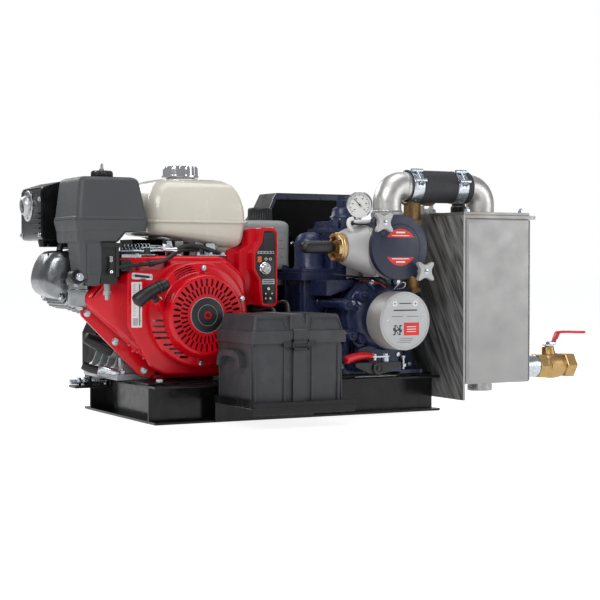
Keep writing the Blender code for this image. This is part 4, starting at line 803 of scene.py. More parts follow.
def make_exhaust():
    low, high = Vector((-0.4855, 0.0225, 0.3635)), Vector((-0.3355, 0.1595, 0.4845))
    body = Solid("black")
    silhouette = rounded([(low.x, low.z), (high.x, low.z), (high.x, high.z - 0.004), (-0.44, high.z),
                          (low.x, high.z - 0.014)], [0.012, 0.01, 0.01, 0.03, 0.014])
    body.prism(silhouette, low.y + 0.004, high.y - 0.004)
    body.prism([(x * 0.985 + -0.4105 * 0.015, z * 0.985 + 0.424 * 0.015) for x, z in silhouette], low.y,
               high.y)
    body.box((low.x - 0.0012, 0.03, 0.455), (low.x + 0.001, 0.15, 0.4575))
    for k in range(5):                                   # pressed ribs on the shield
        z = 0.376 + 0.01 * k
        body.box((low.x - 0.0022, 0.034, z), (low.x + 0.001, 0.07, z + 0.004))
    for z in (0.462, 0.468):
        for k in range(7):
            y = 0.035 + 0.017 * k
            body.box((low.x + 0.001, y, z), (low.x + 0.006, y + 0.009, z + 0.003))
    body.rod((-0.405, 0.045, 0.3455), (-0.405, 0.045, 0.366), 0.016)
    body.box((-0.428, 0.028, 0.3455), (-0.384, 0.066, 0.3505))
    body.rod((-0.47, 0.06, 0.3636), (-0.47, 0.06, 0.35), 0.011, 0.008, 24)
    body.box((-0.46, 0.045, 0.35), (-0.415, 0.095, 0.364))
    outlet = Vector((-0.4855, 0.105, 0.435))
    body.use("machined").turned([(0.012, 0), (0.032, 0), (0.032, 0.0028), (0.03, 0.004), (0.012, 0.004)],
                                outlet, LEFT, 56)
    for x, z in ring(0.0255, 6, 0.3):
        body.use("black").rod((outlet.x - 0.0036, outlet.y + x, outlet.z + z),
                              (outlet.x - 0.0046, outlet.y + x, outlet.z + z), 0.0022, sides=12)
    body.use("silver").turned([(0, 0), (0.0215, 0), (0.0212, 0.004), (0.0195, 0.0085), (0.017, 0.0115),
                               (0.015, 0.0125), (0.0138, 0.012), (0.0135, 0.006), (0, 0.006)],
                              (outlet.x - 0.003, outlet.y, outlet.z), (-1, 0, -0.12), 44)
    # a flat dark disc inside the outlet's mouth: painted shade where the open bore would be
    body.use("ink").rod((outlet.x - 0.0088, outlet.y, outlet.z), (outlet.x - 0.0098, outlet.y, outlet.z),
                        0.0132, sides=32)
    body.use("zinc").box((-0.447, 0.0185, 0.459), (-0.4, 0.024, 0.478))
    body.box((-0.447, 0.0185, 0.476), (-0.4, 0.05, 0.4792))
    for x in (-0.437, -0.41):
        body.bolt((x, 0.0186, 0.4675), FRONT, 0.008, 0.004)
    for y, z in ((0.032, 0.375), (0.15, 0.375), (0.032, 0.447), (0.15, 0.447)):
        body.bolt((-0.4856, y, z), LEFT, 0.008, 0.004)
    body.piece("exhaust_muffler", "skid", ["muffler"], "black_paint", 0.0016)


# ---------------------------------------------------------------- engine: cylinder and crankcase
TILT = radians(18)
BARREL = Matrix(((-cos(TILT), 0, sin(TILT), CRANK.x), (0, 1, 0, 0), (sin(TILT), 0, cos(TILT), CRANK.z),
                 (0, 0, 0, 1)))


def barrel_rings(sections, radius=0.012):
    """Rings square to the tilted cylinder: (distance, half height, half width) each."""
    return [[(d, y, s) for s, y in oblong(-half_s, half_s, -half_y, half_y, min(radius, half_s * 0.8), 6)]
            for d, half_s, half_y in sections]


def make_top_end():
    cover = Solid("rocker")
    cover.loft(barrel_rings([(0.2455, 0.053, 0.06), (0.25, 0.053, 0.06)], 0.014), BARREL)
    cover.loft(barrel_rings([(0.2495, 0.049, 0.056), (0.266, 0.048, 0.055), (0.28, 0.0445, 0.052),
                             (0.29, 0.039, 0.047), (0.297, 0.031, 0.04), (0.301, 0.021, 0.031),
                             (0.3022, 0.012, 0.021)], 0.022), BARREL)
    for half_s, half_y in ((0.0455, 0.0525), (0.0455, -0.0525), (-0.0455, 0.0525), (-0.0455, -0.0525)):
        at = BARREL @ Vector((0.25, half_y, half_s))
        way = BARREL.to_3x3() @ Vector(RIGHT)
        cover.use("rocker").rod(BARREL @ Vector((0.248, half_y, half_s)), at + way * 0.004, 0.0085, sides=24)
        cover.use("zinc").bolt(at + way * 0.004, way, 0.01, 0.005)
    badge = [(0.293, -0.028 + 0.007 * cos(a), 0.02 + 0.016 * sin(a)) for a in angles(32)]
    cover.use("ink").loft([[(0.279, y, s) for _, y, s in badge],
                           [(0.2975, y * 0.9, s * 0.9) for _, y, s in badge]], BARREL)
    cover.use("plastic").tube(along([tuple(BARREL @ Vector(p))
                                     for p in ((0.262, 0.02, 0.05), (0.262, 0.02, 0.066), (0.255, 0, 0.085),
                                               (0.235, -0.02, 0.098), (0.21, -0.03, 0.105))], 0.006), 0.0065,
                              14)
    cover.piece("valve_rocker_cover", "skid", ["rocker_cover"], "cast_aluminium", 0.0008, angle=40)

    head = Solid("cast")
    head.loft(barrel_rings([(0.215, 0.057, 0.061), (0.244, 0.057, 0.061)], 0.01), BARREL)
    head.loft(barrel_rings([(0.0965, 0.048, 0.05), (0.216, 0.048, 0.05)], 0.02), BARREL)
    for k in range(11):
        d = 0.103 + 0.0103 * k
        head.loft(barrel_rings([(d, 0.0575, 0.06), (d + 0.0022, 0.0575, 0.06)], 0.01), BARREL)
    for k in range(3):
        d = 0.22 + 0.0075 * k
        head.loft(barrel_rings([(d, 0.0605, 0.064), (d + 0.0022, 0.0605, 0.064)], 0.01), BARREL)
    spark = [BARREL @ Vector(p) for p in ((0.232, -0.03, 0.058), (0.232, -0.034, 0.084))]
    head.use("white").rod(spark[0], spark[1], 0.0065, 0.005, 20)
    head.use("plastic").rod(spark[1], spark[1] + (spark[1] - spark[0]) * 0.7, 0.009, 0.0075, 20)
    head.tube(along([tuple(spark[1] + (spark[1] - spark[0]) * 0.6), (-0.395, -0.045, 0.356),
                     (-0.355, -0.03, 0.357), (-0.315, -0.03, 0.348), (-0.26, -0.035, 0.338)], 0.007), 0.0036,
              12)
    head.piece("finned_cylinder", "skid", ["cylinder_head"], "cast_aluminium", 0.0005, angle=40)


def make_block():
    """Webs, feet, bolts, filler and drain on the crankcase."""
    base = 0.0806
    detail = Solid("cast")
    for x in (-0.345, -0.31, -0.15, -0.11):              # feet webs
        detail.prism([(x - 0.004, base), (x + 0.004, base), (x + 0.004, base + 0.045),
                      (x - 0.004, base + 0.045)], -0.063, -0.05)
    detail.prism(rounded([(-0.362, base), (-0.292, base), (-0.3, base + 0.012), (-0.362, base + 0.012)],
                         [0.004, 0, 0.006, 0.004]), -0.075, 0.12)
    detail.prism(rounded([(-0.15, base), (-0.09, base), (-0.09, base + 0.012), (-0.15, base + 0.012)],
                         [0, 0.004, 0.004, 0]), -0.075, 0.12)
    for k in range(4):                                   # ribs on the left wall
        y = -0.04 + 0.042 * k
        detail.prism([(-0.362, base + 0.01), (-0.322, base + 0.038), (-0.318, 0.16), (-0.33, 0.17)],
                     y - 0.0025, y + 0.0025)
    detail.rod((-0.316, 0, 0.1284), (-0.3437, 0, 0.1403), 0.019, 0.0178, 32)
    detail.rod((-0.318, -0.03, 0.108), (-0.333, -0.03, 0.101), 0.011, sides=24)
    detail.use("zinc").bolt((-0.333, -0.03, 0.101), (-0.9, 0, -0.42), 0.014, 0.008)
    for x, y in ((-0.345, -0.062), (-0.345, 0.104), (-0.104, -0.062), (-0.104, 0.104)):
        detail.bolt((x, y, base + 0.012), UP, 0.013, 0.008, stud=0.004)
    detail.use("cast").turned([(0.016, 0), (0.064, 0), (0.066, 0.004), (0.06, 0.011), (0.034, 0.013),
                               (0.016, 0.013)], (CRANK.x, 0.1175, CRANK.z), BACK, 48)
    detail.use("zinc")
    for x, z in ring(0.058, 6, 0.4):
        detail.bolt((CRANK.x + x, 0.124, CRANK.z + z), BACK, 0.008, 0.005)
    detail.use("zinc").tube(along([(-0.352, -0.062, 0.094), (-0.366, -0.058, 0.099), (-0.38, -0.05, 0.104),
                                   (-0.398, -0.046, 0.1)], 0.005), 0.0062, 14)
    detail.use("plastic").tube(along([(-0.392, -0.047, 0.101), (-0.405, -0.043, 0.104),
                                      (-0.42, -0.036, 0.112)], 0.005), 0.0085, 14)
    detail.piece("crankcase_fittings", "skid", (), "cast_aluminium", 0.0008)

    stick = Solid("plastic")
    start, way = Vector((-0.3447, 0, 0.14075)), Vector((-0.0255, 0, 0.011)).normalized()
    side = way.cross(Vector(BACK)).normalized()
    rings = []
    for d, r, depth in ((0.0003, 0.015, 0), (0.002, 0.0168, 0), (0.004, 0.017, 0.0012),
                        (0.028, 0.0166, 0.0012), (0.03, 0.015, 0), (0.046, 0.0132, 0), (0.05, 0.0125, 0),
                        (0.06, 0.0112, 0), (0.062, 0.0085, 0)):
        rings.append([start + way * d + (Vector(BACK) * cos(a) + side * sin(a))
                      * (r - depth * (0.5 + 0.5 * cos(20 * a))) for a in angles(120)])
    stick.loft(rings)
    stick.use("machined").tube([start - way * 0.04, start + way * 0.006], 0.0033, 12)
    stick.piece("dipstick_handle", "oil_dipstick", ["oil_dipstick"], "black_plastic", 0, angle=40)


# ---------------------------------------------------------------- engine: shroud and recoil starter
SHROUD = [(-0.445, 0.252), (-0.445, 0.238), (-0.302, 0.117), (-0.268, 0.0862), (-0.15, 0.0862),
          (-0.105, 0.13), (-0.096, 0.2), (-0.098, 0.29), (-0.15, 0.332), (-0.375, 0.332), (-0.388, 0.316)]
SHROUD_CORNERS = [0.01, 0.012, 0.03, 0.03, 0.045, 0.045, 0.05, 0.04, 0.04, 0.01, 0.008]


def shrink(points, amount):
    """An outline moved inwards by the same distance on every side."""
    out = []
    for i, point in enumerate(points):
        here = Vector(point)
        before, after = (here - Vector(points[i - 1])), (Vector(points[(i + 1) % len(points)]) - here)
        before = before.normalized() if before.length > 1e-9 else after.normalized()
        after = after.normalized() if after.length > 1e-9 else before
        normal = Vector((-(before.y + after.y), before.x + after.x)).normalized()
        out.append(tuple(here + normal * (amount / max(0.5, normal.dot(Vector((-after.y, after.x)))))))
    return out


def layered(outline, sections):
    """Rings of one outline at (Y, inset) places, for a pressed cover with round edges."""
    return [[(x, y, z) for x, z in shrink(outline, amount)] for y, amount in sections]


def make_shroud():
    edge = rounded(SHROUD, SHROUD_CORNERS, 7)
    outer = [(-0.064, 0), (-0.12, 0), (-0.125, 0.0008), (-0.129, 0.0032), (-0.1313, 0.0066), (-0.132, 0.0105)]
    shroud = Solid("red")
    inner = [(-0.1296, 0.011), (-0.127, 0.0055), (-0.12, 0.0028), (-0.064, 0.0028)]
    shroud.loft(layered(edge, outer)[::-1] + layered(edge, inner)[::-1])
    flange = rounded([(-0.448, 0.233), (-0.442, 0.212), (-0.32, 0.091), (-0.292, 0.085), (-0.285, 0.099),
                      (-0.425, 0.233)], 0.004, 3)
    shroud.prism(flange, -0.093, -0.087)
    shroud.prism(rounded([(-0.295, 0.0835), (-0.14, 0.0835), (-0.14, 0.0905), (-0.295, 0.0905)], 0.003, 3),
                 -0.093, -0.087)
    panel = rounded([(-0.3637, 0.3035), (-0.364, 0.193), (-0.312, 0.108), (-0.282, 0.093), (-0.153, 0.093),
                     (-0.113, 0.133), (-0.104, 0.2), (-0.106, 0.286), (-0.15, 0.32), (-0.26, 0.318),
                     (-0.29, 0.305)], [0.012, 0.03, 0.03, 0.03, 0.045, 0.045, 0.05, 0.04, 0.04, 0.04, 0.02],
                    6)
    shroud.loft(layered(panel, [(-0.131, 0), (-0.1345, 0.0006), (-0.1368, 0.0024), (-0.1374, 0.005)]))
    opening = Solid("red").hoop(0, 0.098, -0.1, 0.06, (CRANK.x, -0.15, CRANK.z), BACK, 64)
    shroud.piece("engine_shroud", "skid", ["fan_shroud"], "red_paint", 0, angle=42, cuts=opening)

    trim = Solid("zinc")
    for x, z in ((-0.431, 0.218), (-0.372, 0.16), (-0.311, 0.101)):
        trim.bolt((x, -0.093, z), FRONT, 0.011, 0.006)
    trim.use("red")
    for x, z in ((-0.356, 0.156), (-0.3385, 0.1415), (-0.348, 0.144), (-0.325, 0.129)):
        trim.rod((x, -0.13, z), (x, -0.1345, z), 0.0042, 0.003, 16)
    trim.use("chrome").prism(rounded([(-0.354, 0.2855), (-0.31, 0.283), (-0.31, 0.295), (-0.354, 0.2985)],
                                     0.0035), -0.1384, -0.137)
    trim.use("ink").prism(rounded([(-0.348, 0.2895), (-0.316, 0.2868), (-0.316, 0.2915), (-0.348, 0.2948)],
                                  0.002), -0.139, -0.1383)
    for x, z in ((-0.3508, 0.292), (-0.313, 0.2892)):
        trim.rod((x, -0.1383, z), (x, -0.1392, z), 0.0012, sides=10)
    ink, paper = -0.1384, -0.1381                        # Y of the face and of the back of the printing
    trim.use("white").slab((-0.3546, 0.1895), (-0.3326, 0.2795), 0.0018, -0.1382, -0.1372)
    trim.use("ink").box((-0.3385, ink, 0.1935), (-0.3365, paper, 0.2755))
    for k in range(3):                                   # plain marks, no words
        trim.box((-0.3384, ink, 0.202 + 0.026 * k), (-0.3345, paper, 0.2032 + 0.026 * k))
    trim.use("label_silver").box((-0.352, ink, 0.1935), (-0.341, paper, 0.208))
    for k in range(17):
        width = rng.uniform(0.004, 0.009)
        z = 0.213 + 0.0038 * k
        trim.box((-0.3515, ink, z), (-0.3515 + width, paper, z + 0.0011))
    trim.piece("shroud_trim", "skid", (), "chrome", 0)


def arc_slot(solid, radius, width, first, last, y_low, y_high):
    """A curved bar in the XZ plane round the crank, used to cut a louvre."""
    def arc(r, start, end):
        turns = [radians(start + (end - start) * k / 14) for k in range(15)]
        return [(CRANK.x + r * cos(a), CRANK.z + r * sin(a)) for a in turns]

    outline = arc(radius - width / 2, first, last) + arc(radius + width / 2, last, first)
    return solid.prism(outline, y_low, y_high)


def make_recoil():
    hub_y = -0.191
    hub = (CRANK.x, hub_y, CRANK.z)
    cover = Solid("red")
    outer = [(0.074, 0.0004), (0.0768, 0.001), (0.079, 0.0026), (0.08, 0.0048), (0.0812, 0.012),
             (0.0838, 0.026), (0.085, 0.029), (0.087, 0.0305), (0.0985, 0.0322), (0.103, 0.034),
             (0.1058, 0.0375), (0.107, 0.042), (0.107, 0.056)]
    inner = [(0.1045, 0.056), (0.1045, 0.043), (0.103, 0.039), (0.1, 0.036), (0.086, 0.0335), (0.0822, 0.03),
             (0.0775, 0.006), (0.074, 0.0034)]
    cover.turned([(r, -h) for r, h in outer + inner], hub, FRONT, 96)
    louvres = Solid("red")
    for k in range(4):
        arc_slot(louvres, 0.0878 + 0.0047 * k, 0.0022, 96 + 2 * k, 128 - 1.5 * k, -0.175, -0.148)
    for k in range(4):
        z = 0.201 - 0.0115 * k
        louvres.box((-0.317, -0.175, z), (-0.2975 + 0.004 * k, -0.148, z + 0.0045))
    for k in range(4):
        x, z = -0.287 + 0.0115 * k, 0.153 - 0.0085 * k
        louvres.box((x - 0.008, -0.175, z), (x + 0.0095, -0.148, z + 0.0042))
    for k in range(3):
        arc_slot(louvres, 0.089 + 0.005 * k, 0.0024, -62, -38, -0.175, -0.148)
    cover.piece("recoil_cover", "skid", ["recoil_housing"], "red_paint", 0, angle=38, cuts=louvres)

    grille = Solid("red")
    holes = [ring(0.0745, 96, 0, (CRANK.x, CRANK.z))]
    for r_low, r_high, width, offset in ((0.0575, 0.0728, 0.0046, 0), (0.0415, 0.057, 0.004, 5.0)):
        for k in range(36):
            a = radians(10 * k + offset)
            way, side = Vector((cos(a), sin(a))), Vector((-sin(a), cos(a)))
            corners = [way * r_low - side * width / 2, way * r_high - side * width / 2, way * r_high
                       + side * width / 2, way * r_low + side * width / 2]
            holes.append([(CRANK.x + p[0], CRANK.z + p[1])
                          for p in rounded([tuple(c) for c in corners], width * 0.4, 2)])
    grille.panel(holes, hub_y + 0.0002, hub_y + 0.0026)
    grille.piece("recoil_grille", "skid", (), "red_paint", 0.0004, angle=50)

    disc = Solid("ink").turned([(0, 0.003), (0.01, 0.0029), (0.022, 0.0024), (0.03, 0.0015), (0.0345, 0),
                                (0.0345, -0.001), (0, -0.001)], hub, FRONT, 72)
    disc.use("label_silver").hoop(0.0345, 0.0357, -0.001, 0.0006, hub, FRONT, 72)
    disc.use("label_silver").hoop(0.0205, 0.0212, 0.0018, 0.0028, hub, FRONT, 72)
    disc.use("red").panel([[(CRANK.x + x, CRANK.z + z) for x, z in ring(0.0085, 6)],
                           [(CRANK.x + x, CRANK.z + z) for x, z in ring(0.0055, 6)]], hub_y - 0.0034,
                          hub_y - 0.0026)
    for x, z in ((-0.2152, 0.1165), (-0.2092, 0.3075), (-0.305, 0.245), (-0.124, 0.245), (-0.133, 0.15)):
        disc.use("red").rod((x, -0.15, z), (x, -0.1625, z), 0.0075, 0.0062, 20)
        disc.use("zinc").bolt((x, -0.1625, z), FRONT, 0.008, 0.004)
    disc.use("ink").disc(0.0095, 0.012, (CRANK.x, -0.19, CRANK.z), BACK, 32)
    disc.piece("recoil_centre", "skid", (), "black_plastic", 0)

    pull = Vector((-0.62, -0.58, 0.53)).normalized()
    guide = Vector((-0.311, -0.17, 0.2385))
    eye = Solid("red").turned([(0.0035, -0.026), (0.0098, -0.026), (0.0098, 0.004), (0.0088, 0.01),
                               (0.007, 0.012), (0.0035, 0.012)], guide, pull, 32)
    eye.use("plastic").turned([(0.0028, 0.006), (0.0066, 0.006), (0.0066, 0.0126), (0.005, 0.0132),
                               (0.0028, 0.0126)], guide, pull, 28)
    eye.piece("rope_guide", "skid", (), "red_paint", 0)

    stem_start = guide + pull * 0.0135
    centre, bar = stem_start + pull * 0.028, Vector((0.0686, 0, 0.0377))
    grip = Solid("plastic")
    points, radii = [], []
    for k in range(33):
        t = -1 + 2 * k / 32
        s = abs(t)
        cap = sqrt(max(0.03, 1 - ((s - 0.8) / 0.2) ** 2)) if s > 0.8 else 1.0
        points.append(centre + bar / 2 * t * 1.04 - pull * (0.006 * t * t - 0.001))
        radii.append((0.0128 + 0.0012 * cos(2.2 * (t + 0.7))) * cap)
    grip.tube(points, radii, 28)
    grip.turned([(0, 0.0003), (0.0062, 0.0003), (0.0072, 0.0015), (0.0072, 0.0045), (0.006, 0.006),
                 (0.0062, 0.012), (0.0085, 0.02), (0.0105, 0.028), (0, 0.028)], stem_start, pull, 32)
    for t in (-0.62, -0.42, 0.42, 0.62):                 # finger lines moulded in the grip
        at = centre + bar / 2 * t - pull * 0.006 * t * t
        grip.turned([(0.0126, -0.001), (0.0141, -0.0004), (0.0141, 0.0004), (0.0126, 0.001)], at, bar, 28)
    grip.piece("starter_grip", "recoil_grip", ["recoil_grip"], "black_plastic", 0, angle=45)

    rope = Solid("strap")
    length, count = 0.0022, 90
    rope.tube([guide + pull * (0.0117 + length * k / count) for k in range(count + 1)], 0.0024, 10)
    mesh = rope.mesh("starter_rope")
    obj = bpy.data.objects.new("starter_rope", mesh)
    scene.collection.objects.link(obj)
    obj.data.shade_smooth()
    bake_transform(obj)


# ---------------------------------------------------------------- engine: governor, cable and control box
def make_linkage():
    link = Solid("zinc")
    link.prism(rounded([(-0.372, -0.128), (-0.3, -0.128), (-0.286, -0.112), (-0.286, -0.074),
                        (-0.372, -0.074)], 0.008), 0.3326, 0.3344, "Z")
    link.slab((-0.372, -0.1275), (-0.33, -0.1295), 0.0008, 0.323, 0.3344, "Z")
    link.tube(along([(-0.371, -0.12, 0.341), (-0.345, -0.119, 0.3415), (-0.318, -0.118, 0.3405),
                     (-0.29, -0.117, 0.342), (-0.265, -0.117, 0.34)], 0.004), 0.0022, 10)
    for k in range(2):                                   # governor springs
        y, z = -0.112 + 0.014 * k, 0.352 - 0.006 * k
        coil = [(-0.372 + 0.0011 * i, y + 0.0042 * cos(i * 0.9), z + 0.0042 * sin(i * 0.9))
                for i in range(62)]
        link.tube(coil, 0.0008, 6)
        link.tube([(-0.304, y, z), (-0.285, y, z), (-0.268, y, z - 0.004)], 0.0009, 8)
        link.tube([(-0.372, y, z), (-0.386, y, z + 0.002), (-0.394, y, z)], 0.0009, 8)
    link.tube(along([(-0.32, -0.104, 0.3475), (-0.285, -0.112, 0.348), (-0.262, -0.118, 0.343),
                     (-0.25, -0.12, 0.3345), (-0.24, -0.119, 0.333)], 0.004), 0.0016, 10)
    link.prism(rounded([(-0.268, 0.33), (-0.258, 0.33), (-0.252, 0.35), (-0.256, 0.362), (-0.264, 0.362),
                        (-0.268, 0.35)], 0.0035), -0.106, -0.104)
    link.bolt((-0.26, -0.106, 0.356), FRONT, 0.008, 0.004)
    link.prism(rounded([(-0.205, -0.12), (-0.14, -0.12), (-0.128, -0.108), (-0.128, -0.075),
                        (-0.205, -0.075)], 0.006), 0.3322, 0.3338, "Z")
    for x in (-0.198, -0.17, -0.142):
        link.bolt((x, -0.108, 0.3338), UP, 0.009, 0.005)
    link.prism(rounded([(-0.178, 0.3335), (-0.15, 0.3335), (-0.154, 0.358), (-0.172, 0.358)], 0.004), -0.094,
               -0.092)
    link.use("guard")                                    # dark cylinder baffle under the tank
    link.box((-0.302, -0.01, 0.333), (-0.234, 0.06, 0.366))
    link.box((-0.234, -0.01, 0.333), (-0.15, 0.06, 0.344))
    link.use("plastic")
    for k in range(5):                                   # ribbed cable clamp beside the air cleaner
        link.rod((-0.376 + 0.0045 * k, -0.14, 0.301), (-0.376 + 0.0045 * k, -0.14, 0.323), 0.0026, sides=12)
    link.box((-0.38, -0.139, 0.304), (-0.356, -0.13, 0.32))
    link.use("cast")
    for x in (-0.225, -0.18, -0.135):                    # tank bracket feet
        link.box((x - 0.009, -0.075, 0.33), (x + 0.009, -0.045, 0.362))
    link.use("plastic").tube(along([(-0.385, -0.142, 0.309), (-0.35, -0.1425, 0.313),
                                    (-0.315, -0.142, 0.316), (-0.29, -0.139, 0.3205), (-0.27, -0.131, 0.329),
                                    (-0.25, -0.118, 0.338), (-0.225, -0.104, 0.344), (-0.19, -0.09, 0.345)],
                                   0.006), 0.0042, 14)
    link.tube([(-0.319, -0.142, 0.3155), (-0.3075, -0.1415, 0.317)], 0.0062, 14)
    link.tube(along([(-0.245, -0.098, 0.341), (-0.22, -0.104, 0.352), (-0.19, -0.105, 0.35),
                     (-0.165, -0.1, 0.343), (-0.135, -0.09, 0.334)], 0.006), 0.0048, 12)
    link.use("chrome").turned([(0, 0), (0.0056, 0), (0.0056, 0.006), (0.004, 0.01), (0.004, 0.03),
                               (0, 0.03)], (-0.25, -0.12, 0.343), (-1, 0.08, 0.05), 20)
    link.piece("governor_linkage", "skid", (), "steel", 0.0004)


def make_control_box():
    box = Solid("red")
    face = rounded([(-0.065, 0.2265), (-0.033, 0.2265), (-0.0262, 0.234), (-0.0262, 0.383), (-0.034, 0.3918),
                    (-0.064, 0.3918), (-0.069, 0.361), (-0.085, 0.338), (-0.085, 0.303), (-0.0705, 0.279)],
                   [0.008, 0.008, 0.006, 0.01, 0.01, 0.008, 0.01, 0.006, 0.006, 0.01], 5)
    box.loft(layered(face, [(-0.104, 0), (-0.1262, 0), (-0.129, 0.001), (-0.13, 0.0032)]))
    step = rounded([(-0.098, 0.23), (-0.03, 0.23), (-0.03, 0.39), (-0.08, 0.39), (-0.082, 0.356),
                    (-0.104, 0.34), (-0.104, 0.26)], 0.007, 5)
    box.loft(layered(step, [(-0.08, 0), (-0.103, 0), (-0.1055, 0.001), (-0.1065, 0.003)]))
    body = rounded([(-0.12, 0.242), (-0.03, 0.242), (-0.03, 0.386), (-0.083, 0.386), (-0.086, 0.354),
                    (-0.12, 0.346)], 0.007, 5)
    box.loft(layered(body, [(-0.045, 0), (-0.079, 0), (-0.0818, 0.001), (-0.0828, 0.003)]))
    panel = rounded([(-0.0612, 0.233), (-0.036, 0.233), (-0.0315, 0.2385), (-0.0318, 0.378),
                     (-0.0372, 0.3842), (-0.059, 0.3842), (-0.0632, 0.359), (-0.0788, 0.336),
                     (-0.0788, 0.3055), (-0.065, 0.281)], 0.0035, 4)
    box.use("plastic").loft(layered(panel, [(-0.1295, 0), (-0.1306, 0), (-0.131, 0.0006)]))
    box.use("red").panel([[(x, z) for x, z in shrink(face, 0.0022)], panel], -0.1318, -0.1296)
    box.use("ink").box((-0.059, -0.1316, 0.344), (-0.035, -0.1309, 0.38))
    box.use("label_silver").box((-0.0735, -0.1316, 0.3365), (-0.0355, -0.131, 0.342))
    for k in range(5):
        box.use("ink").box((-0.0715 + 0.0075 * k, -0.1319, 0.3378), (-0.067 + 0.0075 * k, -0.1315, 0.3408))
    box.use("orange").box((-0.0735, -0.132, 0.319), (-0.0645, -0.1308, 0.331))
    box.use("white")
    for x in (-0.054, -0.044):
        box.panel([[(x + u, 0.3255 + w) for u, w in ring(0.003, 14)],
                   [(x + u, 0.3255 + w) for u, w in ring(0.0021, 14)]], -0.1316, -0.1309)
    box.use("chrome").turned([(0.0104, 0), (0.0132, 0), (0.0132, 0.003), (0.0118, 0.0042), (0.0104, 0.0042)],
                             (-0.056, -0.1305, 0.306), FRONT, 40)
    box.use("label_silver").box((-0.0625, -0.1316, 0.2735), (-0.0345, -0.131, 0.284))
    for k in range(2):
        box.use("ink").box((-0.0605, -0.1319, 0.2755 + 0.0042 * k), (-0.0365, -0.1315, 0.2775 + 0.0042 * k))
    box.use("white")
    for x, z, r in ((-0.048, 0.264, 0.003), (-0.0545, 0.254, 0.0016), (-0.04, 0.254, 0.0016),
                    (-0.0545, 0.244, 0.0016), (-0.044, 0.244, 0.0022)):
        box.disc(r, 0.0006, (x, -0.131, z), FRONT, 14)
    box.piece("key_panel_housing", "skid", ["control_box"], "red_paint", 0, angle=40)

    key = Solid("chrome").turned([(0, 0), (0.0098, 0), (0.0098, 0.006), (0.0086, 0.0072), (0.006, 0.0072),
                                  (0.0056, 0.006), (0, 0.006)], (-0.056, -0.1303, 0.306), FRONT, 40)
    key.use("machined").slab((-0.064, 0.3038), (-0.048, 0.3082), 0.0015, -0.142, -0.136)
    key.piece("ignition_key", "key_switch", ["key_switch"], "chrome", 0.0004)

    can_end = (-0.084, -0.058, 0.19)
    starter = Solid("black").turned([(0, 0), (0.02, 0), (0.027, 0.003), (0.029, 0.008), (0.029, 0.128),
                                     (0.0265, 0.1345), (0.012, 0.136), (0, 0.136)], can_end, BACK, 48)
    starter.use("cast").hoop(0.0285, 0.03, 0.02, 0.026, can_end, BACK, 48)
    starter.hoop(0.0285, 0.03, 0.108, 0.114, can_end, BACK, 48)
    starter.use("black").rod((-0.07, -0.05, 0.226), (-0.07, 0.03, 0.226), 0.0155, sides=32)
    starter.use("wire").rod((-0.07, -0.05, 0.226), (-0.07, -0.058, 0.226), 0.004, sides=12)
    starter.use("zinc").bolt((-0.078, -0.058, 0.232), FRONT, 0.007, 0.005)
    starter.piece("starter_can", "skid", ["starter_motor"], "black_paint", 0.0006)


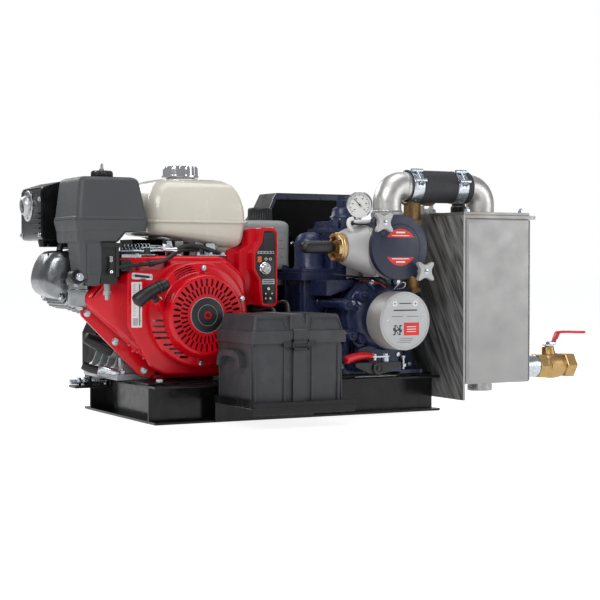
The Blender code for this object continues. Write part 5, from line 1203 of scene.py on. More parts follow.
# ---------------------------------------------------------------- battery box
def make_battery_box():
    case = Solid("battery_grey")
    outer = [(0.044, 0.0045), (0.047, 0.002), (0.16, 0), (0.1845, -0.0002)]
    plan = (-0.1975, -0.0025, -0.3605, -0.2065)
    rings = stack([inset(z, plan, a) for z, a in outer], 0.007)
    rings += stack([inset(z, plan, a + 0.003) for z, a in ((0.0475, 0.004), (0.1845, 0))], 0.005)[::-1]
    case.loft(rings)
    for x in (-0.1925, -0.13, -0.07, -0.012):            # stiffening ribs on the front and back
        for y0, y1 in ((-0.3622, -0.359), (-0.208, -0.205)):
            case.box((x - 0.0022, y0, 0.05), (x + 0.0022, y1, 0.158))
    for y in (-0.354, -0.213):
        case.box((-0.1992, y - 0.0022, 0.05), (-0.196, y + 0.0022, 0.158))
        case.box((-0.004, y - 0.0022, 0.05), (-0.0008, y + 0.0022, 0.158))
    case.loft(stack([inset(0.044, plan, -0.003), inset(0.0475, plan, -0.003), inset(0.049, plan, -0.001)],
                    0.008))
    for x, way in ((-0.1975, -1), (-0.0025, 1)):         # moulded hand grips on both ends
        hood = rounded([(-0.33, 0.116), (-0.322, 0.14), (-0.298, 0.149), (-0.255, 0.149), (-0.23, 0.14),
                        (-0.222, 0.116), (-0.233, 0.116), (-0.24, 0.131), (-0.256, 0.137), (-0.297, 0.137),
                        (-0.312, 0.131), (-0.319, 0.116)], 0.004, 4)
        low, high = sorted((x - way * 0.001, x + way * 0.013))
        case.prism(hood, low, high, "X")
    case.piece("battery_box", "skid", ["battery_case"], "grey_plastic", 0.0008)

    lid = Solid("battery_grey")
    skirt = (-0.2012, 0.005, -0.3662, -0.2008)
    lid.loft(stack([inset(0.1632, skirt, 0.0005), inset(0.165, skirt, 0), inset(0.1855, skirt, 0.0008),
                    inset(0.1872, skirt, 0.0025)], 0.006)
             + stack([inset(0.1632, skirt, 0.003), inset(0.184, skirt, 0.003)], 0.004)[::-1])
    crown = (-0.1975, 0.001, -0.362, -0.205)
    lid.loft(stack([inset(0.1862, crown, 0), inset(0.214, crown, 0.0062), inset(0.2168, crown, 0.008),
                    inset(0.218, crown, 0.011)], 0.008)
             + stack([inset(0.1862, crown, 0.0032), inset(0.213, crown, 0.0095)], 0.005)[::-1])
    low, high = -0.119, -0.079                           # the raised saddle that the strap lies in
    lid.prism([(low, 0.186), (low, 0.216), (low + 0.004, 0.2185), (low + 0.006, 0.2185),
               (low + 0.006, 0.186)], -0.3628, -0.2042)
    lid.prism([(high - 0.006, 0.186), (high - 0.006, 0.2185), (high - 0.004, 0.2185), (high, 0.216),
               (high, 0.186)], -0.3628, -0.2042)
    for first, last in ((-0.196, -0.121), (-0.077, 0)):  # frames round the two sloping panels
        for y0, lean in ((-0.3622, 1), (-0.2048, -1)):

            def wall(x, z, out):
                return (x, y0 + lean * (0.0062 * (z - 0.1862) / 0.0278) - lean * out, z)

            for a, b in (((first + 0.004, 0.1885), (last - 0.004, 0.1885)),
                         ((first + 0.01, 0.212), (last - 0.012, 0.212)),
                         ((first + 0.004, 0.1885), (first + 0.01, 0.212)),
                         ((last - 0.004, 0.1885), (last - 0.012, 0.212))):
                lid.tube([wall(*a, 0.0002), wall(*b, 0.0002)], 0.0015, 8)
        lid.slab((first + 0.014, -0.344), (last - 0.014, -0.223), 0.006, 0.2175, 0.2184, "Z")
    lid.prism(rounded([(0.003, 0.166), (0.0175, 0.166), (0.0175, 0.17), (0.003, 0.178)], 0.0012), -0.3,
              -0.268)
    lid.use("plastic")
    for x in (-0.125, -0.074):                           # catches under the lid's edge
        lid.slab((x - 0.01, 0.156), (x + 0.01, 0.1668), 0.0015, -0.3672, -0.361)
    lid.piece("battery_box_lid", "skid", ["battery_lid"], "grey_plastic", 0.0008)

    strap = Solid("strap")
    x, out = -0.099, 0.001
    path = [(x, -0.364, 0.045), (x, -0.364 - out, 0.1), (x, -0.365 - out, 0.16), (x, -0.3672 - out, 0.165),
            (x, -0.3676 - out, 0.184), (x, -0.366 - out, 0.188), (x, -0.3635, 0.19), (x, -0.358, 0.213),
            (x, -0.354, 0.218), (x, -0.348, 0.2184), (x, -0.29, 0.2182), (x, -0.22, 0.2184),
            (x, -0.212, 0.2175), (x, -0.208, 0.212), (x, -0.203, 0.19), (x, -0.2004, 0.186),
            (x, -0.1996, 0.17), (x, -0.202, 0.164), (x, -0.203, 0.046)]
    strap.strip(path, RIGHT, 0.028, 0.0012)
    strap.use("plastic")
    for z in (0.15, 0.166):
        strap.box((x - 0.018, -0.3695, z), (x + 0.018, -0.3672, z + 0.0045))
    strap.box((x - 0.018, -0.3695, 0.15), (x - 0.0145, -0.3672, 0.1705))
    strap.box((x + 0.0145, -0.3695, 0.15), (x + 0.018, -0.3672, 0.1705))
    strap.box((x - 0.016, -0.37, 0.158), (x + 0.016, -0.368, 0.161))
    strap.piece("battery_strap", "skid", (), "black_plastic", 0.0002)

    lead = Solid("plastic")                              # leads out of the back of the lid to the starter
    lead.tube(along([(-0.06, -0.204, 0.196), (-0.06, -0.188, 0.206), (-0.058, -0.165, 0.224),
                     (-0.064, -0.12, 0.218), (-0.071, -0.08, 0.222), (-0.0715, -0.059, 0.226)], 0.006),
              0.0046, 14)
    lead.tube(along([(-0.03, -0.204, 0.196), (-0.028, -0.185, 0.212), (-0.02, -0.155, 0.236),
                     (-0.03, -0.11, 0.23), (-0.05, -0.07, 0.22)], 0.006), 0.0042, 14)
    lead.piece("battery_leads", "skid", (), "black_plastic", 0)


# ---------------------------------------------------------------- oil tank, guard and skid details
def make_oil_tank():
    low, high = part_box("oil_tank")
    top = high.z - 0.014
    plan, mouth = (low.x, high.x, low.y, high.y), (0.046, 0.098)
    tank = Solid("tank")
    sections = [inset(low.z, plan, 0.008), inset(low.z + 0.002, plan, 0.0035),
                inset(low.z + 0.006, plan, 0.0008), inset(low.z + 0.04, plan, 0),
                inset(low.z + 0.042, plan, -0.0008), inset(low.z + 0.046, plan, -0.0008),
                inset(low.z + 0.048, plan, 0), inset(top - 0.014, plan, 0)]
    for k in range(1, 7):
        a = radians(15 * k)
        sections.append(inset(top - 0.014 + 0.014 * sin(a), plan, 0.016 * (1 - cos(a))))
    tank.loft(stack(sections, 0.016, 8))
    tank.turned([(0, 0), (0.031, 0), (0.03, 0.0015), (0.0245, 0.0015), (0.0235, 0.014), (0, 0.014)],
                (*mouth, top - 0.001), UP, 48)
    for k in range(6):                                   # level marks
        z = low.z + 0.03 + 0.018 * k
        tank.box((high.x - 0.03, low.y - 0.0006, z), (high.x - (0.014 if k % 2 else 0.02), low.y + 0.001,
                                                      z + 0.0012))
    tank.piece("oil_reservoir", "skid", ["oil_tank"], "tank_plastic", 0, angle=50)
    strap = Solid("black")                               # tank band and bracket
    strap.box((low.x - 0.0018, low.y - 0.0018, low.z + 0.018),
              (high.x + 0.002, low.y - 0.0003, low.z + 0.038))
    strap.prism(rounded([(high.x + 0.0003, low.z - 0.0008), (high.x + 0.01, low.z - 0.0008),
                         (high.x + 0.01, 0.372), (high.x + 0.0003, 0.392)], 0.003), low.y + 0.004,
                low.y + 0.0075)
    strap.box((high.x + 0.0003, low.y + 0.004, low.z - 0.0008), (high.x + 0.0025, high.y + 0.006, 0.378))
    strap.box((high.x + 0.0025, 0.15, 0.3), (high.x + 0.0055, 0.16, 0.34))
    strap.use("zinc").bolt((high.x + 0.0055, low.y + 0.004, 0.36), FRONT, 0.008, 0.004)
    strap.piece("oil_tank_band", "skid", (), "black_paint", 0.0006)

    cap = Solid("plastic")
    rings = []
    for z, r, depth in ((0.4134, 0.027, 0), (0.414, 0.028, 0), (0.4155, 0.028, 0), (0.416, 0.0278, 0.0014),
                        (0.435, 0.0272, 0.0014), (0.4365, 0.027, 0), (0.439, 0.0262, 0), (0.4405, 0.0245, 0)):
        rings.append(lobed(*mouth, z, 180, lambda a: r - depth * (0.5 + 0.5 * cos(30 * a))))
    cap.loft(rings)
    cap.turned([(0, 0.44), (0.018, 0.44), (0.017, 0.441), (0, 0.441)], (*mouth, 0), UP, 40)
    cap.piece("oil_filler_cap", "oil_tank_cap", ["oil_tank_cap"], "black_plastic", 0, angle=45)


def make_guard_trim():
    trim = Solid("navy_smooth")
    edge = [(0.118, 0.4782), (0.3262, 0.4782), (0.3262, 0.464), (0.108, 0.464)]
    trim.prism(edge, 0.1565, 0.1612)
    trim.box((0.118, 0.1565, 0.4768), (0.326, 0.2449, 0.4784))
    trim.prism([(0.06, 0.3955), (0.098, 0.4405), (0.118, 0.4785), (0.126, 0.4785), (0.102, 0.433),
                (0.064, 0.388)], 0.157, 0.1605)
    for x, z in ((0.15, 0.47), (0.235, 0.47), (0.315, 0.47), (0.318, 0.36), (0.318, 0.24), (-0.25, 0.272)):
        trim.bolt((x, 0.159, z), FRONT, 0.009, 0.004)
    trim.use("guard")
    for x, z in ((-0.12, 0.24), (0.3, 0.3)):
        trim.rod((x, 0.1612, z), (x, 0.158, z), 0.014, sides=24)
    trim.piece("guard_edge", "skid", (), "black_paint", 0.0008)

    mesh = Solid("guard")                                # louvres on the guard's outer face
    for row in range(4):
        for column in range(7):
            x, z = -0.2 + 0.062 * column, 0.15 + 0.04 * row
            if z <= 0.16 + 0.32 * (x + 0.32):            # inside the guard's sloping edge
                mesh.prism([(0.2445, z), (0.245, z + 0.008), (0.2445, z + 0.008)], x - 0.02, x + 0.02, "X")
    mesh.piece("guard_louvres", "skid", (), "black_paint", 0)


def make_skid_details():
    screw_y, screw_z = 0.05, 0.0715                      # the belt-tension screw, along X
    bits = Solid("black")
    bits.box((-0.412, 0.03, 0.059), (-0.3312, 0.07, 0.064))  # belt-tension slide at the skid's end
    bits.prism([(-0.336, 0.064), (-0.3312, 0.064), (-0.3312, 0.076), (-0.336, 0.076)], 0.03, 0.07)
    bits.use("zinc").rod((-0.418, screw_y, screw_z), (-0.32, screw_y, screw_z), 0.0048, sides=18)
    for k in range(26):
        x = -0.4165 + 0.003 * k
        bits.turned([(0.0046, -0.0006), (0.0056, 0), (0.0046, 0.0006)], (x, screw_y, screw_z), RIGHT, 16)
    for x in (-0.4, -0.388, -0.34):
        bits.disc(0.0096, 0.006, (x, screw_y, screw_z), RIGHT, 6)
    bits.use("black").box((-0.38, 0.036, 0.063), (-0.374, 0.064, 0.083))
    for x, y in ((-0.3, -0.15), (-0.02, -0.15), (0.31, -0.15), (-0.3, 0.14), (0, 0.14), (0.31, 0.14)):
        bits.use("zinc").bolt((x, y, 0.0803), UP, 0.013, 0.007)
    bits.use("black")
    for x in (-0.325, 0.325):                            # weld beads where the rails meet the cross-members
        bits.tube([(x, -0.1622, 0.006 + 0.002 * k) for k in range(33)], 0.0016, 8)
    bits.piece("skid_fasteners", "skid", (), "black_paint", 0.0005)

    tray = Solid("black")
    tray.slab((-0.2045, 0.0405), (0.0195, 0.0436), 0.0008, -0.3748, -0.201)
    tray.prism([(-0.2045, 0.0436), (-0.203, 0.0436), (-0.203, 0.056), (-0.2045, 0.056)], -0.3748, -0.201)
    tray.prism([(-0.3748, 0.03), (-0.372, 0.03), (-0.372, 0.052), (-0.3748, 0.052)], -0.2045, 0.0195, "X")
    tray.piece("battery_shelf_lip", "skid", (), "black_paint", 0.0008)


# ---------------------------------------------------------------- vacuum pump
def make_pump():
    low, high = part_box("pump_body")
    x, z, front, back = 0.21, 0.2, low.y, high.y

    def eight(radius):
        """Places of the eight flange bolts, or points in line with them on another radius."""
        return ring(radius, 8, radians(22.5), (x, z))

    body = Solid("navy")
    body.turned([(0, 0), (0.088, 0), (0.089, 0.0015), (0.089, 0.015), (0.0872, 0.017), (0.083, 0.0185),
                 (0.083, 0.198), (0.087, 0.2), (0.0885, 0.202), (0.0885, 0.22), (0.087, 0.223),
                 (0.06, 0.226), (0.056, 0.24), (0, 0.24)], (x, front, z), BACK, 72)
    for lug_x, lug_z in eight(0.086):                    # lugs of the flange
        body.rod((lug_x, front + 0.0005, lug_z), (lug_x, front + 0.016, lug_z), 0.011, sides=24)
    for y in (-0.105, -0.062, -0.019, 0.024, 0.06):
        body.turned([(0.08, -0.0022), (0.0862, -0.0016), (0.0862, 0.0016), (0.08, 0.0022)], (x, y, z), BACK,
                    72)
    foot = low.z
    body.slab((0.116, front), (0.304, back), 0.01, foot, foot + 0.014, "Z")
    pedestal = [(foot + 0.012, 0.132, 0.288, front + 0.012, back - 0.012, 0.006),
                (foot + 0.026, 0.148, 0.272, front + 0.02, back - 0.02, 0.006),
                (0.16, 0.152, 0.268, front + 0.022, back - 0.022, 0.006)]
    body.loft([[(px, py, zz) for px, py in oblong(x0, x1, y0, y1, r, 4)] for zz, x0, x1, y0, y1,
               r in pedestal])
    for y in (front + 0.016, -0.03, back - 0.02):
        for side in (-1, 1):
            body.prism([(x + side * 0.092, foot + 0.013), (x + side * 0.07, foot + 0.013),
                        (x + side * 0.07, 0.155), (x + side * 0.078, 0.155)], y - 0.004, y + 0.004)
    # the inlet column, its frame and its flange
    body.loft(pillar(oblong(0.0765, 0.15, -0.0495, 0.0415, 0.008, 5), (foot, 0.286)))
    body.prism([(0.083, 0.1), (0.146, 0.1), (0.146, 0.278), (0.139, 0.278), (0.139, 0.108), (0.09, 0.108),
                (0.09, 0.278), (0.083, 0.278)], -0.0535, -0.0475)
    body.prism([(-0.042, 0.1), (0.034, 0.1), (0.034, 0.278), (0.027, 0.278), (0.027, 0.108), (-0.035, 0.108),
                (-0.035, 0.278), (-0.042, 0.278)], 0.073, 0.0775, "X")
    body.loft(pillar(oblong(0.064, 0.242, -0.062, 0.052, 0.012, 5), (0.28, 0.2975)))
    body.rod((0.112, -0.166, 0.232), (0.112, -0.046, 0.232), 0.0105, sides=36)  # oil gallery
    body.turned([(0.0105, 0), (0.013, 0.002), (0.013, 0.01), (0.0105, 0.012)], (0.112, -0.07, 0.232), BACK,
                32)
    body.prism([(0.1, 0.248), (0.136, 0.26), (0.156, 0.27), (0.156, 0.281), (0.09, 0.281), (0.09, 0.248)],
               -0.13, -0.048)
    body.turned([(0, 0), (0.0235, 0), (0.0245, 0.002), (0.0245, 0.05), (0.023, 0.055), (0, 0.055)],
                (0.293, -0.134, 0.1965), UP, 40)
    body.loft([[(0.262, -0.148, zz), (0.3, -0.148, zz), (0.3, -0.12, zz), (0.262, -0.12, zz)]
               for zz in (0.2, 0.24)])
    body.use("zinc")
    for bx, by in ((0.128, front + 0.016), (0.292, front + 0.016), (0.128, back - 0.016),
                   (0.292, back - 0.016)):
        body.bolt((bx, by, foot + 0.014), UP, 0.013, 0.008, stud=0.005)
    body.rod((0.252, -0.176, 0.09), (0.252, -0.176, 0.12), 0.0042, sides=20)
    body.disc(0.0078, 0.007, (0.252, -0.176, 0.0955), UP, 6)
    body.disc(0.0065, 0.004, (0.252, -0.176, 0.115), UP, 20)
    body.use("navy").loft(pillar(oblong(0.236, 0.292, -0.186, -0.148, 0.006, 4), (0.0815, 0.0895)))
    body.piece("pump_casing", "skid", ["pump_body"], "navy_paint", 0.0012, angle=34)

    cover = Solid("navy")
    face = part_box("pump_end_cover")[1].y
    cover.turned([(0, 0), (0.0885, 0), (0.089, -0.001), (0.089, -0.011), (0.087, -0.013), (0.074, -0.014),
                  (0.07, -0.019), (0.06, -0.025), (0.042, -0.0262), (0, -0.0262)], (x, face, z), BACK, 72)
    for (lug_x, lug_z), (hub_x, hub_z) in zip(eight(0.0845), eight(0.04)):
        cover.turned([(0, 0), (0.0118, 0), (0.0122, 0.001), (0.0122, 0.016), (0.0108, 0.0185), (0, 0.0185)],
                     (lug_x, face, lug_z), FRONT, 32)
        cover.tube([(hub_x, face - 0.022, hub_z), (lug_x, face - 0.012, lug_z)], 0.0055, 12)
    for lx, lz, r in ((0.116, 0.229, 0.0125), (0.153, 0.248, 0.013), (0.127, 0.164, 0.0115),
                      (0.15, 0.156, 0.0105)):
        cover.cap(r, 0.026, r - 0.002, 0.029, (lx, face, lz), FRONT, 36)
        way = Vector((x - lx, z - lz)).normalized()
        cover.tube([(lx, face - 0.012, lz), (lx + way.x * 0.045, face - 0.01, lz + way.y * 0.045)], r * 0.78,
                   20)
        cover.turned([(r * 0.5, 0.0285), (r * 0.82, 0.029), (r * 0.82, 0.0305), (r * 0.5, 0.0305)],
                     (lx, face, lz), FRONT, 28)
    cover.prism(rounded([(0.13, 0.135), (0.19, 0.095), (0.24, 0.095), (0.25, 0.13), (0.22, 0.15)], 0.012),
                face - 0.02, face - 0.002)
    bracket = rounded([(0.107, 0.11), (0.218, 0.11), (0.218, 0.102), (0.178, 0.087), (0.142, 0.087),
                       (0.107, 0.102)], [0.004, 0.004, 0.004, 0.01, 0.01, 0.004], 5)
    cover.use("plastic").prism(bracket, -0.224, -0.212)
    cover.use("navy").box((0.13, -0.214, 0.089), (0.224, face - 0.002, 0.108))
    cover.use("plastic").turned([(0, 0), (0.0125, 0), (0.0132, 0.001), (0.0132, 0.0055), (0.0115, 0.007),
                                 (0.008, 0.007), (0.0075, 0.0052), (0, 0.0052)], (0.16, -0.223, 0.098),
                                FRONT, 36)
    cover.disc(0.005, 0.0035, (0.16, -0.2275, 0.098), FRONT, 6)
    cover.use("zinc")
    for lug_x, lug_z in eight(0.0845):
        cover.bolt((lug_x, face - 0.0184, lug_z), FRONT, 0.0095, 0.004)
    cover.use("navy_smooth")
    for lx, lz in ((0.116, 0.229), (0.153, 0.248), (0.127, 0.164)):
        cover.bolt((lx, face - 0.03, lz), FRONT, 0.008, 0.0035, washer=False)
    cover.piece("pump_front_cover", "skid", ["pump_end_cover"], "navy_paint", 0.001, angle=34)

    top = Solid("navy")
    dx, dy, base = 0.113, -0.01, 0.2983
    top.loft(pillar(oblong(0.0665, 0.158, -0.06, 0.043, 0.014, 5), (base, base + 0.007)))
    top.turned([(0, 0.0865), (0.01, 0.0862), (0.02, 0.0835), (0.027, 0.077), (0.0312, 0.068),
                (0.0325, 0.058), (0.0325, 0.014), (0.0355, 0.008), (0.037, 0.006), (0, 0.006)],
               (dx, dy, base), UP, 56)
    # elbow from the dome into the valve block
    top.tube(along([(dx, dy, 0.35), (0.13, dy, 0.353), (0.165, -0.006, 0.354)], 0.008), 0.029, 40)
    top.loft(pillar(oblong(0.14, 0.2395, -0.058, 0.048, 0.008, 5), (base, 0.384, 0.388)))
    top.loft(pillar(oblong(0.136, 0.24, -0.06, 0.05, 0.01, 5), (0.384, 0.393)))
    for px in (0.15, 0.17, 0.19, 0.21, 0.23):            # ribs and lugs on the valve block
        for y in (-0.06, 0.044):
            top.box((px - 0.003, y, 0.306), (px + 0.003, y + 0.006, 0.385))
    top.loft(pillar(oblong(0.151, 0.233, -0.044, 0.042, 0.008, 5), (0.392, 0.409)))
    for px in (0.157, 0.176, 0.196, 0.216):
        top.slab((px - 0.0065, 0.393), (px + 0.0065, 0.415), 0.003, -0.05, -0.042)
    top.turned([(0, 0), (0.029, 0), (0.03, 0.003), (0.03, 0.011), (0.026, 0.016), (0.0235, 0.03),
                (0.016, 0.034), (0, 0.034)], (0.202, -0.002, 0.408), UP, 40)
    top.turned([(0, 0), (0.0125, 0), (0.0125, 0.016), (0.01, 0.018), (0.01, 0.0285), (0, 0.0285)],
               (0.202, 0.004, 0.44), UP, 6)
    for px, py in ((0.075, -0.05), (0.148, -0.05), (0.148, 0.033), (0.075, 0.033)):
        top.bolt((px, py, base + 0.0068), UP, 0.012, 0.008)
    for px in (0.157, 0.196, 0.225):
        for py in (-0.05, 0.04):
            top.bolt((px, py, 0.3928), UP, 0.01, 0.006)
    for k in range(6):
        a = radians(60 * k + 20)
        top.bolt((0.202 + 0.027 * cos(a), -0.002 + 0.027 * sin(a), 0.4185), UP, 0.006, 0.004, washer=False)
    top.piece("valve_chest", "skid", ["pump_manifold"], "navy_paint", 0.0012, angle=34)

    wires = Solid("plastic")
    for k, path in enumerate((((0.17, -0.15, 0.286), (0.184, -0.205, 0.284), (0.196, -0.216, 0.262)),
                              ((0.15, -0.12, 0.284), (0.176, -0.19, 0.29), (0.204, -0.214, 0.264)),
                              ((0.12, -0.11, 0.292), (0.17, -0.176, 0.285), (0.19, -0.205, 0.27)))):
        wires.tube(along(path, 0.006), 0.0016 + 0.0003 * k, 10)
    wires.use("wire").tube(along([(0.16, -0.15, 0.28), (0.176, -0.196, 0.276), (0.186, -0.212, 0.266)],
                                 0.006), 0.0012, 10)
    wires.use("zinc").tube(along([(0.205, -0.214, 0.262), (0.215, -0.222, 0.275), (0.228, -0.222, 0.276),
                                  (0.226, -0.22, 0.266), (0.212, -0.214, 0.262)], 0.004), 0.0013, 10)
    wires.piece("pump_wires", "skid", (), "black_plastic", 0)

    pivot = (0.19, -0.205)
    lever = Solid("zinc")                                # four-way lever: flat bar, red grip, two bolts
    lever.disc(0.0088, 0.0105, (*pivot, 0.11), UP, 32)
    lever.prism(rounded([(0.134, -0.2105), (0.199, -0.211), (0.199, -0.199), (0.134, -0.1995)], 0.004),
                0.119, 0.1225, "Z")
    lever.bolt((*pivot, 0.1225), UP, 0.01, 0.005)
    lever.bolt((0.163, -0.205, 0.1225), UP, 0.009, 0.0045)
    lever.rod((0.163, -0.205, 0.113), (0.163, -0.205, 0.1195), 0.005, sides=6)
    grip = along([(0.1555, -0.205, 0.1222), (0.14, -0.206, 0.1232), (0.12, -0.208, 0.1222),
                  (0.103, -0.211, 0.1195), (0.0915, -0.213, 0.1165)], 0.003)
    swell = [0.0062 + 0.0026 * sin(min(1.0, 0.15 + 0.9 * k / (len(grip) - 1)) * pi * 0.62)
             for k in range(len(grip))]
    lever.use("vinyl").tube(grip, swell, 24)
    lever.ball(grip[-1], swell[-1] * 0.995, 0.5, (-1, -0.1, -0.15), 24)
    lever.piece("four_way_handle", "four_way_lever", ["four_way_lever"], "red_grip", 0.0004)


def make_canister():
    low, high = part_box("oil_canister")
    x, z, r = (low.x + high.x) / 2, (low.z + high.z) / 2, (high.x - low.x) / 2
    can = Solid("pale")
    can.turned([(0, 0.0008), (r - 0.0045, 0.0008), (r - 0.004, 0), (r - 0.0016, 0), (r - 0.0004, 0.0007),
                (r, 0.002), (r, 0.055), (r - 0.0012, 0.0568), (r - 0.004, 0.0575), (0.04, 0.0575),
                (0.038, 0.059), (0.038, 0.0865), (0, 0.0865)], (x, low.y, z), BACK, 96)
    can.use("label_silver").turned([(0, 0), (r - 0.006, 0), (r - 0.0055, 0.0003), (r - 0.0055, 0.0006),
                                    (0, 0.0006)], (x, low.y + 0.0009, z), FRONT, 72)
    y0, y1 = low.y + 0.0001, low.y + 0.0004
    can.use("white")
    for sx in (-0.025, 0.025):
        can.rod((x + sx, y1, z + 0.036), (x + sx, low.y + 0.00005, z + 0.036), 0.0055, sides=28)
    can.use("label_red").box((x - 0.003, y0, z - 0.03), (x + 0.034, y1, z - 0.0035))
    can.use("ink")
    for sx in (-0.025, 0.025):
        can.box((x + sx - 0.0038, low.y, z + 0.0355), (x + sx + 0.0038, y1, z + 0.0366))
        can.box((x + sx - 0.0006, low.y, z + 0.033), (x + sx + 0.0006, y1, z + 0.039))
    for row, (first, last, height) in enumerate(((-0.014, 0.015, 0.002), (-0.028, 0.029, 0.0026),
                                                 (-0.032, -0.006, 0.0009), (0.004, 0.033, 0.0009))):
        zz = z + (0.0355, 0.021, 0.009, 0.009)[row]
        can.box((x + first, y0, zz), (x + last, y1, zz + height))
    for k in range(3):
        can.box((x - 0.014, y0, z - 0.037 - 0.004 * k), (x + 0.02 - 0.003 * k, y1, z - 0.0362 - 0.004 * k))
    for i in range(7):                                   # a chequered square of no meaning
        for j in range(7):
            if (i * 5 + j * 3 + i * j) % 4 < 2:
                can.box((x - 0.029 + 0.003 * i, y0, z - 0.029 + 0.003 * j),
                        (x - 0.0262 + 0.003 * i, y1, z - 0.0262 + 0.003 * j))
    can.use("white")
    for k in range(3):
        can.box((x + 0.004, low.y, z - 0.013 - 0.005 * k), (x + 0.027, y0 + 0.0001, z - 0.0115 - 0.005 * k))
    can.use("zinc")
    for sx in (-0.042, 0.042):
        can.turned([(0, 0), (0.0022, 0), (0.0016, 0.0005), (0, 0.0006)], (x + sx, low.y + 0.0006, z + 0.002),
                   FRONT, 16)
    can.piece("oil_separator", "skid", ["oil_canister"], "cast_aluminium", 0)


# ---------------------------------------------------------------- filter
def star_outline(x, z, reach, waist):
    """Four rounded points with hollow sides between them."""
    points = []
    for k in range(4):
        tip = radians(45 + 90 * k)
        for a in (-60, -30, 0, 30, 60):
            t = tip + radians(a)
            points.append((x + (reach - 0.0038) * cos(tip) + 0.0038 * cos(t), z + (reach - 0.0038) * sin(tip)
                           + 0.0038 * sin(t)))
        for step in (0.25, 0.5, 0.75):
            a = tip + radians(90 * step)
            bow = waist + (reach * 0.8 - waist) * (2 * abs(step - 0.5)) ** 1.6
            points.append((x + bow * cos(a), z + bow * sin(a)))
    return points


